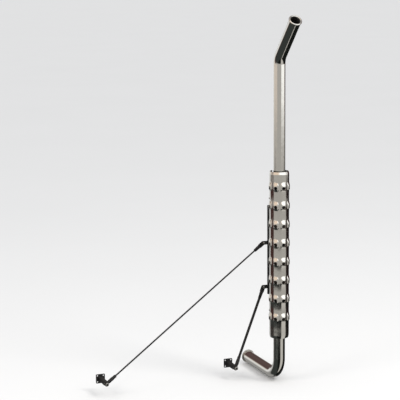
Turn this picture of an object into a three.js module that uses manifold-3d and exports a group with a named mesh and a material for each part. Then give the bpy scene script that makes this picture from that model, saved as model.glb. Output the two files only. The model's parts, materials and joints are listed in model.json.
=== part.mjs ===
// Vertical exhaust stack of a highway tractor, with its heat shield, muffler, support post and stay rods.
//
// Millimetres, +Z up. The exhaust pipe's upright axis is the line x = 0, y = 0 of the stack's own group,
// whose z = 0 is the lower end of the heat shield. The slanted outlet points rearward, along -Y, and the
// inlet elbow runs forward, along +Y. The exported group moves all of it so that the origin is the middle
// of the support post's forward face.

import * as THREE from "three";
import { mergeVertices } from "three/addons/utils/BufferGeometryUtils.js";
import Module from "manifold-3d";

const wasm = await Module();
wasm.setup();

// ---------------------------------------------------------------- driving dimensions

const CLEARANCE = 0.3; // between pieces that touch on the real object
const SLIP = 0.6; // radial play of a pipe in its slip joint
const PIPE_SIDES = 24;
const MUFFLER_SIDES = 24;
const SHIELD_SIDES = 16;
const BOLT_SIDES = 8;

const pipe = { radius: 44.45, wall: 2 };
const shield = {
  radius: 74,
  sheet: 1.5,
  length: 1280,
  bevelHeight: 19,
  bevelDepth: 4,
  openingHalfAngle: THREE.MathUtils.degToRad(24),
};
const bump = {
  rows: 8,
  rowPitch: 143.6,
  rowLift: 25,
  columns: 8,
  halfWidth: 24,
  halfHeight: 40,
  topScale: 0.56,
  height: 9,
  sheet: 1.8,
  holeRadius: 12,
  holeDrop: 9,
};
const upperBend = {
  vertexHeight: 2121,
  angle: THREE.MathUtils.degToRad(43),
  radius: 107,
  outletRun: 400,
  jointBelow: 10,
};
const lowerBend = { runHeight: -315, angle: Math.PI / 2, radius: 150, inletReach: 600 };
const lip = { beadRadius: 6.5, ringRadius: 43.5 };
const flange = { radius: 54, thickness: 12 };

const muffler = { radius: 62, sheet: 1.6, low: 130, high: 1150, headInset: 6, headSheet: 3 };
const nipple = { wall: 2, outside: 85, inside: 45, slotWidth: 2.5, slotDepth: 35 };
const pipeInsertion = 105;
const core = { wall: 1.5, holeRadius: 7, rows: 5, columns: 6 };
const clamp = { wall: 2, width: 40, gap: 6, earLength: 17, earWall: 4, boltRadius: 4 };

const post = { side: 22, wall: 2, length: 690, y: 188, accessRadius: 8.6 };
const bracket = { spacing: 480, web: 5, webHeight: 50, flangeWidth: 44, flangeHeight: 60, flangeSheet: 4 };
const isolator = { radius: 18, length: 16.4 };
const band = { wall: 2, width: 30, earLength: 30, earWall: 2.4, boltRadius: 4, boltReach: 82 };
const standoff = { angle: THREE.MathUtils.degToRad(67.5), height: 30, sheet: 1.5, fromEnd: 207 };
const screw = { radius: 3, headRadius: 6.5, headHeight: 4 };

const lug = { thickness: 8, halfHeight: 14, pinReach: 48, upperHeight: 698, lowerHeight: 352, pinRadius: 4.7 };
const stay = {
  forkWall: 5.5,
  forkReach: 30,
  neck: 12,
  socketRadius: 13,
  socketLength: 50,
  rodEnd: 52,
  eyeRadius: 17,
  eyeHalfLength: 13.5,
};
const foot = { studRadius: 8, armSide: 30, armLength: 137, plateSide: 70, plateSheet: 8, height: -268 };
const stays = {
  upper: { height: lug.upperHeight, rodRadius: 6, footX: -1330 },
  lower: { height: lug.lowerHeight, rodRadius: 10, footX: -285 },
};

// ---------------------------------------------------------------- materials

const finish = (color, roughness, metalness) => new THREE.MeshStandardMaterial({ color, roughness, metalness });
const chrome = finish(0xc9c6bf, 0.12, 1);
const blackPaint = finish(0x161616, 0.6, 0.2);
const bareSteel = finish(0x8d8a84, 0.45, 0.9);
const zincPlate = finish(0xa9aaa6, 0.35, 0.9);
const rubber = finish(0x1b1b1b, 0.9, 0);
const mineralWool = finish(0xb9a878, 1, 0);

// ---------------------------------------------------------------- solids

function solidOf(geometry) {
  const bare = geometry.index ? geometry.toNonIndexed() : geometry.clone();
  bare.deleteAttribute("normal");
  bare.deleteAttribute("uv");
  const merged = mergeVertices(bare, 1e-4);
  const vertProperties = new Float32Array(merged.attributes.position.array);
  const triVerts = new Uint32Array(merged.index.array);
  return new wasm.Manifold(new wasm.Mesh({ numProp: 3, vertProperties, triVerts }));
}

function geometryOf(solid) {
  const mesh = solid.getMesh();
  const geometry = new THREE.BufferGeometry();
  geometry.setAttribute("position", new THREE.BufferAttribute(mesh.vertProperties, 3));
  geometry.setIndex(new THREE.BufferAttribute(mesh.triVerts, 1));
  const faceted = geometry.toNonIndexed();
  faceted.computeVertexNormals();
  return faceted;
}

function named(name, solid, material) {
  const mesh = new THREE.Mesh(geometryOf(solid), material);
  mesh.name = name;
  return mesh;
}

// A box from its lowest corner to its highest corner.
function block(low, high) {
  const geometry = new THREE.BoxGeometry(high[0] - low[0], high[1] - low[1], high[2] - low[2]);
  geometry.translate((low[0] + high[0]) / 2, (low[1] + high[1]) / 2, (low[2] + high[2]) / 2);
  return solidOf(geometry);
}

// Turns a shape made along Z so that its axis runs along X or Y.
function turned(geometry, axis) {
  if (axis === "x") geometry.rotateY(Math.PI / 2);
  if (axis === "y") geometry.rotateX(-Math.PI / 2);
  return geometry;
}

function rod(radius, low, high, axis = "z", sides = 16) {
  const geometry = new THREE.CylinderGeometry(radius, radius, high - low, sides);
  geometry.rotateX(Math.PI / 2);
  geometry.translate(0, 0, (low + high) / 2);
  return solidOf(turned(geometry, axis));
}

// A solid of revolution about Z from a closed outline of [radius, height] points.
function revolved(outline, sides) {
  const points = [...outline, outline[0]].map(([radius, height]) => new THREE.Vector2(radius, height));
  const geometry = new THREE.LatheGeometry(points, sides);
  geometry.rotateX(Math.PI / 2);
  return solidOf(geometry);
}

function ring(outer, inner, low, high, sides = PIPE_SIDES) {
  return revolved([[inner, low], [outer, low], [outer, high], [inner, high]], sides);
}

// A straight run, one bend and a second straight run, as stations along the centre line.
class BentPath extends THREE.Curve {
  constructor({ start, along, towards, firstRun, radius, angle, secondRun, bendSteps = 6 }) {
    super();
    this.stations = [{ point: start, tangent: along }];
    const bendStart = start.clone().addScaledVector(along, firstRun);
    for (let i = 0; i <= bendSteps; i += 1) {
      const turn = (angle * i) / bendSteps;
      const point = bendStart.clone();
      point.addScaledVector(along, radius * Math.sin(turn));
      point.addScaledVector(towards, radius * (1 - Math.cos(turn)));
      const tangent = along.clone().multiplyScalar(Math.cos(turn));
      tangent.addScaledVector(towards, Math.sin(turn));
      this.stations.push({ point, tangent });
    }
    const { point, tangent } = this.stations.at(-1);
    this.stations.push({ point: point.clone().addScaledVector(tangent, secondRun), tangent });
  }

  get steps() {
    return this.stations.length - 1;
  }

  station(u) {
    return this.stations[Math.round(u * this.steps)];
  }

  getPointAt(u) {
    return this.station(u).point.clone();
  }

  getTangentAt(u) {
    return this.station(u).tangent.clone();
  }
}

function circlePoints(radius, sides) {
  return Array.from({ length: sides }, (_, i) => {
    const angle = (2 * Math.PI * i) / sides;
    return new THREE.Vector2(radius * Math.cos(angle), radius * Math.sin(angle));
  });
}

function bentTube(path, outer, inner) {
  const section = new THREE.Shape(circlePoints(outer, PIPE_SIDES));
  section.holes.push(new THREE.Path(circlePoints(inner, PIPE_SIDES).reverse()));
  return solidOf(new THREE.ExtrudeGeometry(section, { steps: path.steps, extrudePath: path }));
}

// ---------------------------------------------------------------- fasteners, along X from the middle outwards

function hexBolt(radius, gripStart, gripEnd, axis = "x") {
  const headHeight = radius * 1.3;
  const head = rod(radius * 2, gripStart - headHeight, gripStart, axis, 6);
  return rod(radius, gripStart - 0.1, gripEnd, axis, BOLT_SIDES).add(head);
}

function hexNut(radius, low, axis = "x") {
  const height = radius * 1.6;
  const hole = rod(radius + CLEARANCE, low - 1, low + height + 1, axis, BOLT_SIDES);
  return rod(radius * 2, low, low + height, axis, 6).subtract(hole);
}

// ---------------------------------------------------------------- pipes

// The upright pipe, the bent outlet tip welded on it, and the round lip of the outlet.
function stack() {
  const tangentLength = upperBend.radius * Math.tan(upperBend.angle / 2);
  const jointHeight = upperBend.vertexHeight - tangentLength - upperBend.jointBelow;
  const low = muffler.high + nipple.outside - pipeInsertion;
  const upright = ring(pipe.radius, pipe.radius - pipe.wall, low, jointHeight - CLEARANCE);
  const path = new BentPath({
    start: new THREE.Vector3(0, 0, jointHeight),
    along: new THREE.Vector3(0, 0, 1),
    towards: new THREE.Vector3(0, -1, 0),
    firstRun: upperBend.jointBelow,
    radius: upperBend.radius,
    angle: upperBend.angle,
    secondRun: upperBend.outletRun - tangentLength - lip.beadRadius - CLEARANCE,
  });
  const tip = bentTube(path, pipe.radius, pipe.radius - pipe.wall);
  const bead = new THREE.TorusGeometry(lip.ringRadius, lip.beadRadius, 6, PIPE_SIDES);
  const rolledLip = named("rolled_lip", solidOf(bead), chrome);
  const outward = path.getTangentAt(1);
  rolledLip.position.copy(path.getPointAt(1)).addScaledVector(outward, lip.beadRadius + CLEARANCE);
  rolledLip.quaternion.setFromUnitVectors(new THREE.Vector3(0, 0, 1), outward);
  return [named("stack_pipe", upright, chrome), named("outlet_tip", tip, chrome), rolledLip];
}

function elbow() {
  const top = muffler.low - nipple.outside + pipeInsertion;
  const path = new BentPath({
    start: new THREE.Vector3(0, 0, top),
    along: new THREE.Vector3(0, 0, -1),
    towards: new THREE.Vector3(0, 1, 0),
    firstRun: top - lowerBend.runHeight - lowerBend.radius,
    radius: lowerBend.radius,
    angle: lowerBend.angle,
    secondRun: lowerBend.inletReach - lowerBend.radius,
  });
  const joint = ring(flange.radius, pipe.radius + SLIP, -flange.thickness, 0);
  const inletFlange = named("inlet_flange", joint, zincPlate);
  inletFlange.rotation.x = -Math.PI / 2;
  inletFlange.position.set(0, lowerBend.inletReach, lowerBend.runHeight);
  return [named("elbow_pipe", bentTube(path, pipe.radius, pipe.radius - pipe.wall), chrome), inletFlange];
}

// ---------------------------------------------------------------- muffler

function slottedNipple(low, high, slotEnd) {
  const inner = pipe.radius + SLIP;
  let tube = ring(inner + nipple.wall, inner, low, high);
  const [slotLow, slotHigh] = slotEnd > 0 ? [high - nipple.slotDepth, high + 1] : [low - 1, low + nipple.slotDepth];
  const half = nipple.slotWidth / 2;
  const reach = pipe.radius * 1.5;
  tube = tube.subtract(block([-reach, -half, slotLow], [reach, half, slotHigh]));
  return tube.subtract(block([-half, -reach, slotLow], [half, reach, slotHigh]));
}

function mufflerHead(low) {
  const inner = pipe.radius + SLIP + nipple.wall + CLEARANCE;
  const outer = muffler.radius - muffler.sheet - CLEARANCE - 0.1;
  return ring(outer, inner, low, low + muffler.headSheet, MUFFLER_SIDES);
}

function perforatedCore(low, high) {
  let tube = ring(pipe.radius - 0.05, pipe.radius - 0.05 - core.wall, low, high);
  const pitch = (high - low) / (core.rows + 1);
  for (let row = 1; row <= core.rows; row += 1) {
    for (let column = 0; column < core.columns / 2; column += 1) {
      const through = rod(core.holeRadius, -pipe.radius - 5, pipe.radius + 5, "x", 4);
      const turn = (360 / core.columns) * (column + (row % 2) / 2);
      tube = tube.subtract(through.rotate([0, 0, turn]).translate([0, 0, low + pitch * row]));
    }
  }
  return tube;
}

function mufflerParts() {
  const inletTop = muffler.low + nipple.inside;
  const outletLow = muffler.high - nipple.inside;
  const coreLow = muffler.low - nipple.outside + pipeInsertion + CLEARANCE;
  const coreHigh = muffler.high + nipple.outside - pipeInsertion - CLEARANCE;
  const packing = { outer: muffler.radius - muffler.sheet - 0.6, inner: pipe.radius + 0.8, endGap: 3 };
  const shell = ring(muffler.radius, muffler.radius - muffler.sheet, muffler.low, muffler.high, MUFFLER_SIDES);
  const wool = ring(packing.outer, packing.inner, inletTop + packing.endGap, outletLow - packing.endGap);
  const upperHeadLow = muffler.high - muffler.headInset - muffler.headSheet;
  return [
    named("muffler_shell", shell, bareSteel),
    named("muffler_lower_head", mufflerHead(muffler.low + muffler.headInset), bareSteel),
    named("muffler_upper_head", mufflerHead(upperHeadLow), bareSteel),
    named("inlet_nipple", slottedNipple(muffler.low - nipple.outside, inletTop, -1), bareSteel),
    named("outlet_nipple", slottedNipple(outletLow, muffler.high + nipple.outside, 1), bareSteel),
    named("perforated_core", perforatedCore(coreLow, coreHigh), bareSteel),
    named("sound_packing", wool, mineralWool),
  ];
}

// ---------------------------------------------------------------- clamps on the slip joints

// A strap around an upright tube whose two ends turn out into bolted ears on the +Y side.
function strap({ inner, wall, width, gap, earWall, earLength, boltY, boltRadius, sides, z }) {
  const outer = inner + wall;
  const low = z - width / 2;
  const high = z + width / 2;
  const earOut = gap / 2 + earWall;
  const rootY = inner + wall / 2;
  const hoop = ring(outer, inner, low, high, sides);
  const ears = block([-earOut, rootY, low], [earOut, outer + earLength, high]);
  const slit = block([-gap / 2, 0, low - 1], [gap / 2, outer + earLength + 1, high + 1]);
  const hole = rod(boltRadius + 0.4, -earOut - 1, earOut + 1, "x", BOLT_SIDES).translate([0, boltY, z]);
  return hoop.add(ears).subtract(slit).subtract(hole);
}

function slipClamp(name, z) {
  const inner = pipe.radius + SLIP + nipple.wall + SLIP;
  const boltY = inner + clamp.wall + clamp.earLength * 0.6;
  const grip = clamp.gap / 2 + clamp.earWall + CLEARANCE;
  const hoop = strap({ ...clamp, inner, boltY, sides: PIPE_SIDES, z });
  const boltEnd = grip + clamp.boltRadius * 2.4;
  return [
    named(name + "_clamp_band", hoop, zincPlate),
    named(name + "_clamp_bolt", hexBolt(clamp.boltRadius, -grip, boltEnd).translate([0, boltY, z]), zincPlate),
    named(name + "_clamp_nut", hexNut(clamp.boltRadius, grip).translate([0, boltY, z]), zincPlate),
  ];
}

// ---------------------------------------------------------------- heat shield

// A tapered hexagonal boss that points along +Y, between two distances from the stack's axis.
function boss(inside, outside, shrink) {
  const scaleAt = (r) => 1 - ((1 - bump.topScale) * (r - shield.radius + 3)) / (bump.height + 3);
  const geometry = new THREE.CylinderGeometry(scaleAt(outside), scaleAt(inside), outside - inside, 6);
  const ratio = bump.halfHeight / bump.halfWidth;
  geometry.scale(bump.halfWidth - shrink, 1, bump.halfHeight - shrink * ratio);
  geometry.translate(0, (inside + outside) / 2, 0);
  return solidOf(geometry);
}

// Every place of a bump: the column on the +Y side is left out, because the shield is open there.
// The rows are spread about a height a little above the shield's middle.
function bumpPlaces() {
  const middle = shield.length / 2 + bump.rowLift;
  const places = [];
  for (let column = 1; column < bump.columns; column += 1) {
    for (let row = 0; row < bump.rows; row += 1) {
      const z = middle + (row - (bump.rows - 1) / 2) * bump.rowPitch;
      places.push({ turn: (360 / bump.columns) * column, z });
    }
  }
  return places;
}

function standoffPlaces() {
  const heights = [standoff.fromEnd, shield.length - standoff.fromEnd];
  return heights.flatMap((z, i) =>
    [-1, 1].map((side) => ({
      name: (i ? "upper" : "lower") + (side > 0 ? "_right" : "_left"),
      angle: side * standoff.angle,
      z,
    })),
  );
}

// The shield's round body as a thick ring: bevelled at both ends, and longer than the shield by "over" at each.
function shieldBody(radius, hub, over) {
  const endRadius = radius - shield.bevelDepth * (1 + over / shield.bevelHeight);
  const outline = [
    [hub, -over],
    [endRadius, -over],
    [radius, shield.bevelHeight],
    [radius, shield.length - shield.bevelHeight],
    [endRadius, shield.length + over],
    [hub, shield.length + over],
  ];
  const halfFacet = Math.PI / SHIELD_SIDES;
  const aroundFacets = outline.map(([r, height]) => [r / Math.cos(halfFacet), height]);
  return revolved(aroundFacets, SHIELD_SIDES).rotate([0, 0, THREE.MathUtils.radToDeg(halfFacet)]);
}

function heatShield() {
  const outer = shield.radius;
  const inner = outer - shield.sheet;
  const wall = boss(outer - 8, outer + bump.height, 0);
  const hollow = boss(outer - 12, outer + bump.height - bump.sheet, bump.sheet);
  const upright = rod(bump.holeRadius, outer - 14, outer + bump.height + 2, "y", 6);
  const hole = upright.translate([0, 0, -bump.holeDrop]);
  const places = bumpPlaces();
  const at = (solid, { turn, z }) => solid.rotate([0, 0, turn]).translate([0, 0, z]);
  const all = (solid) => wasm.Manifold.union(places.map((place) => at(solid, place)));
  const skin = shieldBody(outer, muffler.radius - 2, 0).add(all(wall));
  const inside = shieldBody(inner, muffler.radius - 4, 1).add(all(hollow));
  let shell = skin.subtract(inside).subtract(all(hole));

  const reach = outer * 2;
  const half = reach * Math.tan(shield.openingHalfAngle);
  const corners = [[0, 0], [half, reach], [-half, reach]];
  const wedge = new THREE.Shape(corners.map(([x, y]) => new THREE.Vector2(x, y)));
  const opening = new THREE.ExtrudeGeometry(wedge, { depth: shield.length + 2, bevelEnabled: false });
  opening.translate(0, 0, -1);
  shell = shell.subtract(solidOf(opening));

  for (const { angle, z } of standoffPlaces()) {
    const screwHole = rod(screw.radius + CLEARANCE, inner - 6, outer + 6, "y", BOLT_SIDES);
    shell = shell.subtract(screwHole.rotate([0, 0, THREE.MathUtils.radToDeg(-angle)]).translate([0, 0, z]));
  }
  return named("heat_shield", shell, chrome);
}

// A hat-shaped spacer between the muffler shell and the shield, and the screw that holds the shield to it.
function standoffs() {
  const ceiling = shield.radius - shield.sheet;
  const footing = muffler.radius + CLEARANCE;
  const rise = ceiling - CLEARANCE - footing;
  const t = standoff.sheet;
  const hat = [
    [-17, 0],
    [-7.5, 0],
    [-6.5, rise - t],
    [6.5, rise - t],
    [7.5, 0],
    [17, 0],
    [17, t],
    [9, t],
    [8, rise],
    [-8, rise],
    [-9, t],
    [-17, t],
  ];
  const outline = new THREE.Shape(hat.map(([x, y]) => new THREE.Vector2(x, y + footing)));
  const geometry = new THREE.ExtrudeGeometry(outline, { depth: standoff.height, bevelEnabled: false });
  geometry.translate(0, 0, -standoff.height / 2);
  const screwLow = footing + t + 1;
  const headLow = shield.radius + CLEARANCE;
  const hole = rod(screw.radius + CLEARANCE, footing, ceiling, "y", BOLT_SIDES);
  const spacer = solidOf(geometry).subtract(hole);
  const head = rod(screw.headRadius, headLow, headLow + screw.headHeight, "y", 6);
  const fixing = rod(screw.radius, screwLow, headLow + 0.1, "y", BOLT_SIDES).add(head);
  return standoffPlaces().flatMap(({ name, angle, z }) => {
    const place = new THREE.Group();
    place.rotation.z = -angle;
    place.position.z = z;
    place.add(named("shield_standoff_" + name, spacer, zincPlate));
    place.add(named("shield_screw_" + name, fixing, zincPlate));
    return place;
  });
}

// ---------------------------------------------------------------- support post and its brackets

function supportPost() {
  const half = post.side / 2;
  const inner = half - post.wall;
  const low = (shield.length - post.length) / 2;
  const high = low + post.length;
  let tube = block([-half, post.y - half, low], [half, post.y + half, high]);
  tube = tube.subtract(block([-inner, post.y - inner, low - 1], [inner, post.y + inner, high + 1]));
  for (const z of bracketHeights()) {
    tube = tube.subtract(rod(4.4, post.y - post.side, post.y, "y", BOLT_SIDES).translate([0, 0, z]));
    tube = tube.subtract(rod(post.accessRadius, post.y, post.y + post.side, "y", 16).translate([0, 0, z]));
  }
  const plug = inner - CLEARANCE;
  const topPlate = block([-half, post.y - half, high + CLEARANCE], [half, post.y + half, high + 3]);
  const topPlug = block([-plug, post.y - plug, high - 12], [plug, post.y + plug, high + 1]);
  const lowPlate = block([-half, post.y - half, low - 3], [half, post.y + half, low - CLEARANCE]);
  const lowPlug = block([-plug, post.y - plug, low - 1], [plug, post.y + plug, low + 12]);
  return [
    named("support_post", tube, blackPaint),
    named("post_cap_top", topPlate.add(topPlug), rubber),
    named("post_cap_bottom", lowPlate.add(lowPlug), rubber),
  ];
}

function bracketHeights() {
  return [(shield.length + bracket.spacing) / 2, (shield.length - bracket.spacing) / 2];
}

// A muffler strap, the bracket that it holds, and the rubber-mounted bolt that joins them to the post.
// The bolt's head is inside the hollow post, reached through a hole in the forward wall.
function bracketSet(name, z) {
  const postNear = post.y - post.side / 2;
  const plateFar = postNear - isolator.length - 2 * CLEARANCE;
  const plateNear = plateFar - bracket.flangeSheet;
  const inner = muffler.radius + 0.4;
  const webStart = inner + band.wall + 2.4;
  const halfWeb = bracket.web / 2;
  const halfWebHeight = bracket.webHeight / 2;
  const halfFlange = bracket.flangeWidth / 2;
  const halfFlangeHeight = bracket.flangeHeight / 2;
  const web = block([-halfWeb, webStart, -halfWebHeight], [halfWeb, plateNear + 1, halfWebHeight]);
  const plate = block([-halfFlange, plateNear, -halfFlangeHeight], [halfFlange, plateFar, halfFlangeHeight]);
  const strapHole = rod(4.4, -halfWeb - 1, halfWeb + 1, "x", BOLT_SIDES).translate([0, band.boltReach, 0]);
  const boltSlot = block([-halfWeb - 3, plateNear - 13, -8.5], [halfWeb + 3, plateNear, 8.5]);
  const postHole = rod(4.4, plateNear - 1, post.y, "y", BOLT_SIDES);
  const arm = web.subtract(boltSlot).add(plate).subtract(strapHole).subtract(postHole);
  const cushion = rod(isolator.radius, plateFar + CLEARANCE, postNear - CLEARANCE, "y", 16).subtract(postHole);
  const gap = bracket.web + 2 * CLEARANCE;
  const hoop = strap({ ...band, inner, gap, boltY: band.boltReach, sides: MUFFLER_SIDES, z: 0 });
  const grip = gap / 2 + band.earWall + CLEARANCE;
  const strapBolt = hexBolt(band.boltRadius, -grip, grip + band.boltRadius * 2.2).translate([0, band.boltReach, 0]);
  const strapNut = hexNut(band.boltRadius, grip).translate([0, band.boltReach, 0]);
  const nutLow = plateNear - CLEARANCE - 6.4;
  const headLow = postNear + post.wall + CLEARANCE;
  const postBolt = rod(4, nutLow - 2, headLow + 0.1, "y", BOLT_SIDES).add(rod(8, headLow, headLow + 5, "y", 6));
  const set = new THREE.Group();
  set.position.z = z;
  set.add(
    named(name + "_bracket", arm, blackPaint),
    named(name + "_isolator", cushion, rubber),
    named(name + "_strap", hoop, bareSteel),
    named(name + "_strap_bolt", strapBolt, zincPlate),
    named(name + "_strap_nut", strapNut, zincPlate),
    named(name + "_post_bolt", postBolt, zincPlate),
    named(name + "_post_nut", hexNut(4, nutLow, "y"), zincPlate),
  );
  return set;
}

// ---------------------------------------------------------------- stay rods

function postLug(name, z) {
  const half = lug.thickness / 2;
  const start = -post.side / 2 - CLEARANCE;
  const plate = block([-lug.pinReach, -half, -lug.halfHeight], [start, half, lug.halfHeight]);
  const round = rod(lug.halfHeight, -half, half, "y", 16).translate([-lug.pinReach, 0, 0]);
  const hole = rod(lug.pinRadius + 0.4, -half - 1, half + 1, "y", BOLT_SIDES).translate([-lug.pinReach, 0, 0]);
  const piece = named(name + "_lug", plate.add(round).subtract(hole), blackPaint);
  piece.position.set(0, post.y, z);
  return piece;
}

// One stay, built along local +X from its pin in the post's lug to the stud of its foot.
function stayParts(name, length, rodRadius) {
  const forkInner = lug.thickness / 2 + 0.4;
  const forkOuter = forkInner + stay.forkWall;
  const r = stay.socketRadius;
  const socketStart = stay.forkReach + stay.neck;
  const socketEnd = socketStart + stay.socketLength;
  const ears = block([0, -forkOuter, -r], [socketStart, forkOuter, r]);
  const earEnds = rod(r, -forkOuter, forkOuter, "y", 16);
  const gap = block([-r - 1, -forkInner, -r - 1], [stay.forkReach, forkInner, r + 1]);
  const pinHole = rod(lug.pinRadius + 0.4, -forkOuter - 1, forkOuter + 1, "y", BOLT_SIDES);
  const rodHole = rod(rodRadius + 0.4, stay.rodEnd, length - stay.rodEnd, "x", 12);
  const socket = rod(r, socketStart - 1, socketEnd, "x", 16);
  const fork = ears.add(earEnds).subtract(gap).subtract(pinHole).add(socket).subtract(rodHole);

  const headReach = forkOuter + CLEARANCE;
  const heads = rod(8.5, -headReach - 5, -headReach, "y", 12).add(rod(7.5, headReach, headReach + 3, "y", 12));
  const pin = rod(lug.pinRadius, -headReach - 0.1, headReach + 0.1, "y", BOLT_SIDES).add(heads);

  const eyeBoss = rod(stay.eyeRadius, -stay.eyeHalfLength, stay.eyeHalfLength, "y", 20).translate([length, 0, 0]);
  const eyeSocket = rod(r, length - socketEnd, length - stay.eyeRadius + 4, "x", 16);
  const studHole = rod(foot.studRadius + 0.4, -20, 20, "y", 16).translate([length, 0, 0]);
  const eye = eyeBoss.add(eyeSocket).subtract(studHole).subtract(rodHole);
  const bar = rod(rodRadius, stay.rodEnd + CLEARANCE, length - stay.rodEnd - CLEARANCE, "x", 12);
  return [
    named(name + "_stay_fork", fork, blackPaint),
    named(name + "_stay_pin", pin, zincPlate),
    named(name + "_stay_rod", bar, blackPaint),
    named(name + "_stay_eye", eye, blackPaint),
  ];
}

// The foot's stud passes through the stay's eye, and its arm runs forward to a bolting plate.
function footParts(name) {
  const armStart = stay.eyeHalfLength + CLEARANCE + 0.2;
  const half = foot.armSide / 2;
  const halfPlate = foot.plateSide / 2;
  const armEnd = armStart + foot.armLength;
  const arm = block([-half, armStart, -half], [half, armEnd, half]);
  const plate = block([-halfPlate, armEnd - foot.plateSheet, -halfPlate], [halfPlate, armEnd, halfPlate]);
  const stud = rod(foot.studRadius, -armStart - 14, armStart + 0.1, "y", 16);
  let body = arm.add(plate).add(stud);
  for (const [x, z] of [[-1, -1], [-1, 1], [1, -1], [1, 1]]) {
    const hole = rod(5.5, armEnd - foot.plateSheet - 1, armEnd + 1, "y", BOLT_SIDES);
    body = body.subtract(hole.translate([x * (halfPlate - 11), 0, z * (halfPlate - 11)]));
  }
  const nutHole = rod(foot.studRadius + CLEARANCE, -armStart - 20, 0, "y", 16);
  const nut = rod(14, -armStart - 11, -armStart, "y", 6).subtract(nutHole);
  return [named(name + "_foot", body, blackPaint), named(name + "_foot_nut", nut, zincPlate)];
}

function staySet(name, { height, rodRadius, footX }) {
  const pinPoint = new THREE.Vector3(-lug.pinReach, post.y, height);
  const footPoint = new THREE.Vector3(footX, post.y, foot.height);
  const direction = footPoint.clone().sub(pinPoint);
  const stayGroup = new THREE.Group();
  stayGroup.position.copy(pinPoint);
  stayGroup.rotation.y = Math.atan2(-direction.z, direction.x);
  stayGroup.add(...stayParts(name, direction.length(), rodRadius));
  const footGroup = new THREE.Group();
  footGroup.position.copy(footPoint);
  footGroup.add(...footParts(name));
  return [postLug(name, height), stayGroup, footGroup];
}

// ---------------------------------------------------------------- assembly

const stackGroup = new THREE.Group();
stackGroup.position.set(0, -post.y - post.side / 2, -shield.length / 2);
stackGroup.add(
  ...stack(),
  ...elbow(),
  ...mufflerParts(),
  ...slipClamp("upper", muffler.high + nipple.outside - clamp.width / 2 - 3),
  ...slipClamp("lower", muffler.low - nipple.outside + clamp.width / 2 + 3),
  heatShield(),
  ...standoffs(),
  ...supportPost(),
  bracketSet("upper", bracketHeights()[0]),
  bracketSet("lower", bracketHeights()[1]),
  ...staySet("upper", stays.upper),
  ...staySet("lower", stays.lower),
);

const part = new THREE.Group();
part.add(stackGroup);

export default part;
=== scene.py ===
"""Looks of a highway tractor's vertical exhaust stack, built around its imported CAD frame.

Metres, +Z up. The stack's axis is upright, its slanted outlet points along -Y and its elbow along +Y.
Shapes are made in millimetres in a piece's own frame, and then placed by the boxes of the CAD nodes.
"""
import json
import math

import bmesh
import bpy
from mathutils import Matrix, Quaternion, Vector


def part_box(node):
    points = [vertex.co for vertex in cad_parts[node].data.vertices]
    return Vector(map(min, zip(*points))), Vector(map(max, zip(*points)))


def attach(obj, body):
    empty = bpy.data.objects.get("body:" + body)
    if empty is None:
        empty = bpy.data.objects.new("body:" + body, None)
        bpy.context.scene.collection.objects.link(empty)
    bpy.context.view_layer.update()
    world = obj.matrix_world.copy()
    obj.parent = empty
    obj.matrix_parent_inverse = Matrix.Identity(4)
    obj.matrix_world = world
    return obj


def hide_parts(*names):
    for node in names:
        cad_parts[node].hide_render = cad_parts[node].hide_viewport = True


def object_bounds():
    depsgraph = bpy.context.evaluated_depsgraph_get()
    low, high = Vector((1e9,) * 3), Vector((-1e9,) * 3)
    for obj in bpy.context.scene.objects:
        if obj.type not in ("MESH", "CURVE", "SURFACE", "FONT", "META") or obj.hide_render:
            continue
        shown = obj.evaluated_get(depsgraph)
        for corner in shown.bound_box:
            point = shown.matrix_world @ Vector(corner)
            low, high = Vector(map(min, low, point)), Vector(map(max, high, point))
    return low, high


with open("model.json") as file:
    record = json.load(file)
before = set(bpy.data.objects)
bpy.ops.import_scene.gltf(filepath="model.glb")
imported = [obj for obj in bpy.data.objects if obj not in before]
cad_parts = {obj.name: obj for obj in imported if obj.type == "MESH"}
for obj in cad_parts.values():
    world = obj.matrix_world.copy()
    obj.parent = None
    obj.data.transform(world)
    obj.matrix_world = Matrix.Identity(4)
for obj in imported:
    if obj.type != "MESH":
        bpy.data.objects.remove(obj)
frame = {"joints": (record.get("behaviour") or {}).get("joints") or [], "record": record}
cad_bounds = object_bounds()

MM = 0.001
ROUND = 96                       # sides of a pipe
UP = Vector((0, 0, 1))
FORWARD = Vector((0, 1, 0))
SIDE = Vector((1, 0, 0))

joints = {joint["name"]: joint for joint in frame["joints"]}
body_of = {node: body for body, nodes in frame["record"]["behaviour"]["bodies"].items() for node in nodes}
slot_of = {part["node"]: part["material_slot"] for part in frame["record"]["subparts"]}
axis_x, axis_y, _ = joints["stack_aim"]["pos_m"]

X, Y, Z = 0, 1, 2
PIPE_WALL, POST_WALL = 2.0, 2.0
MOUNT_HOLE, ACCESS_HOLE = 4.4, 8.6
PIN_HOLE, STUD_HOLE = 5.1, 8.4
SOCKET_REACH = 92.0              # from a stay's pin, or from its eye's middle, to the end of the socket
ROD_REACH = 52.3                 # from the same places to the end of the rod


class Box:
    """The box of a CAD node, in metres, with its lengths in millimetres."""

    def __init__(self, node):
        low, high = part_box(node)
        self.low, self.high = Vector(low), Vector(high)
        self.middle = (self.low + self.high) / 2
        self.size = self.high - self.low

    def length(self, i):
        return self.size[i] / MM

    def half(self, i):
        return self.size[i] / 2 / MM


def on_axis(height):
    """The point of the stack's axis at a height, in metres."""
    return Vector((axis_x, axis_y, height))


# ---------------------------------------------------------------- material nodes

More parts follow.
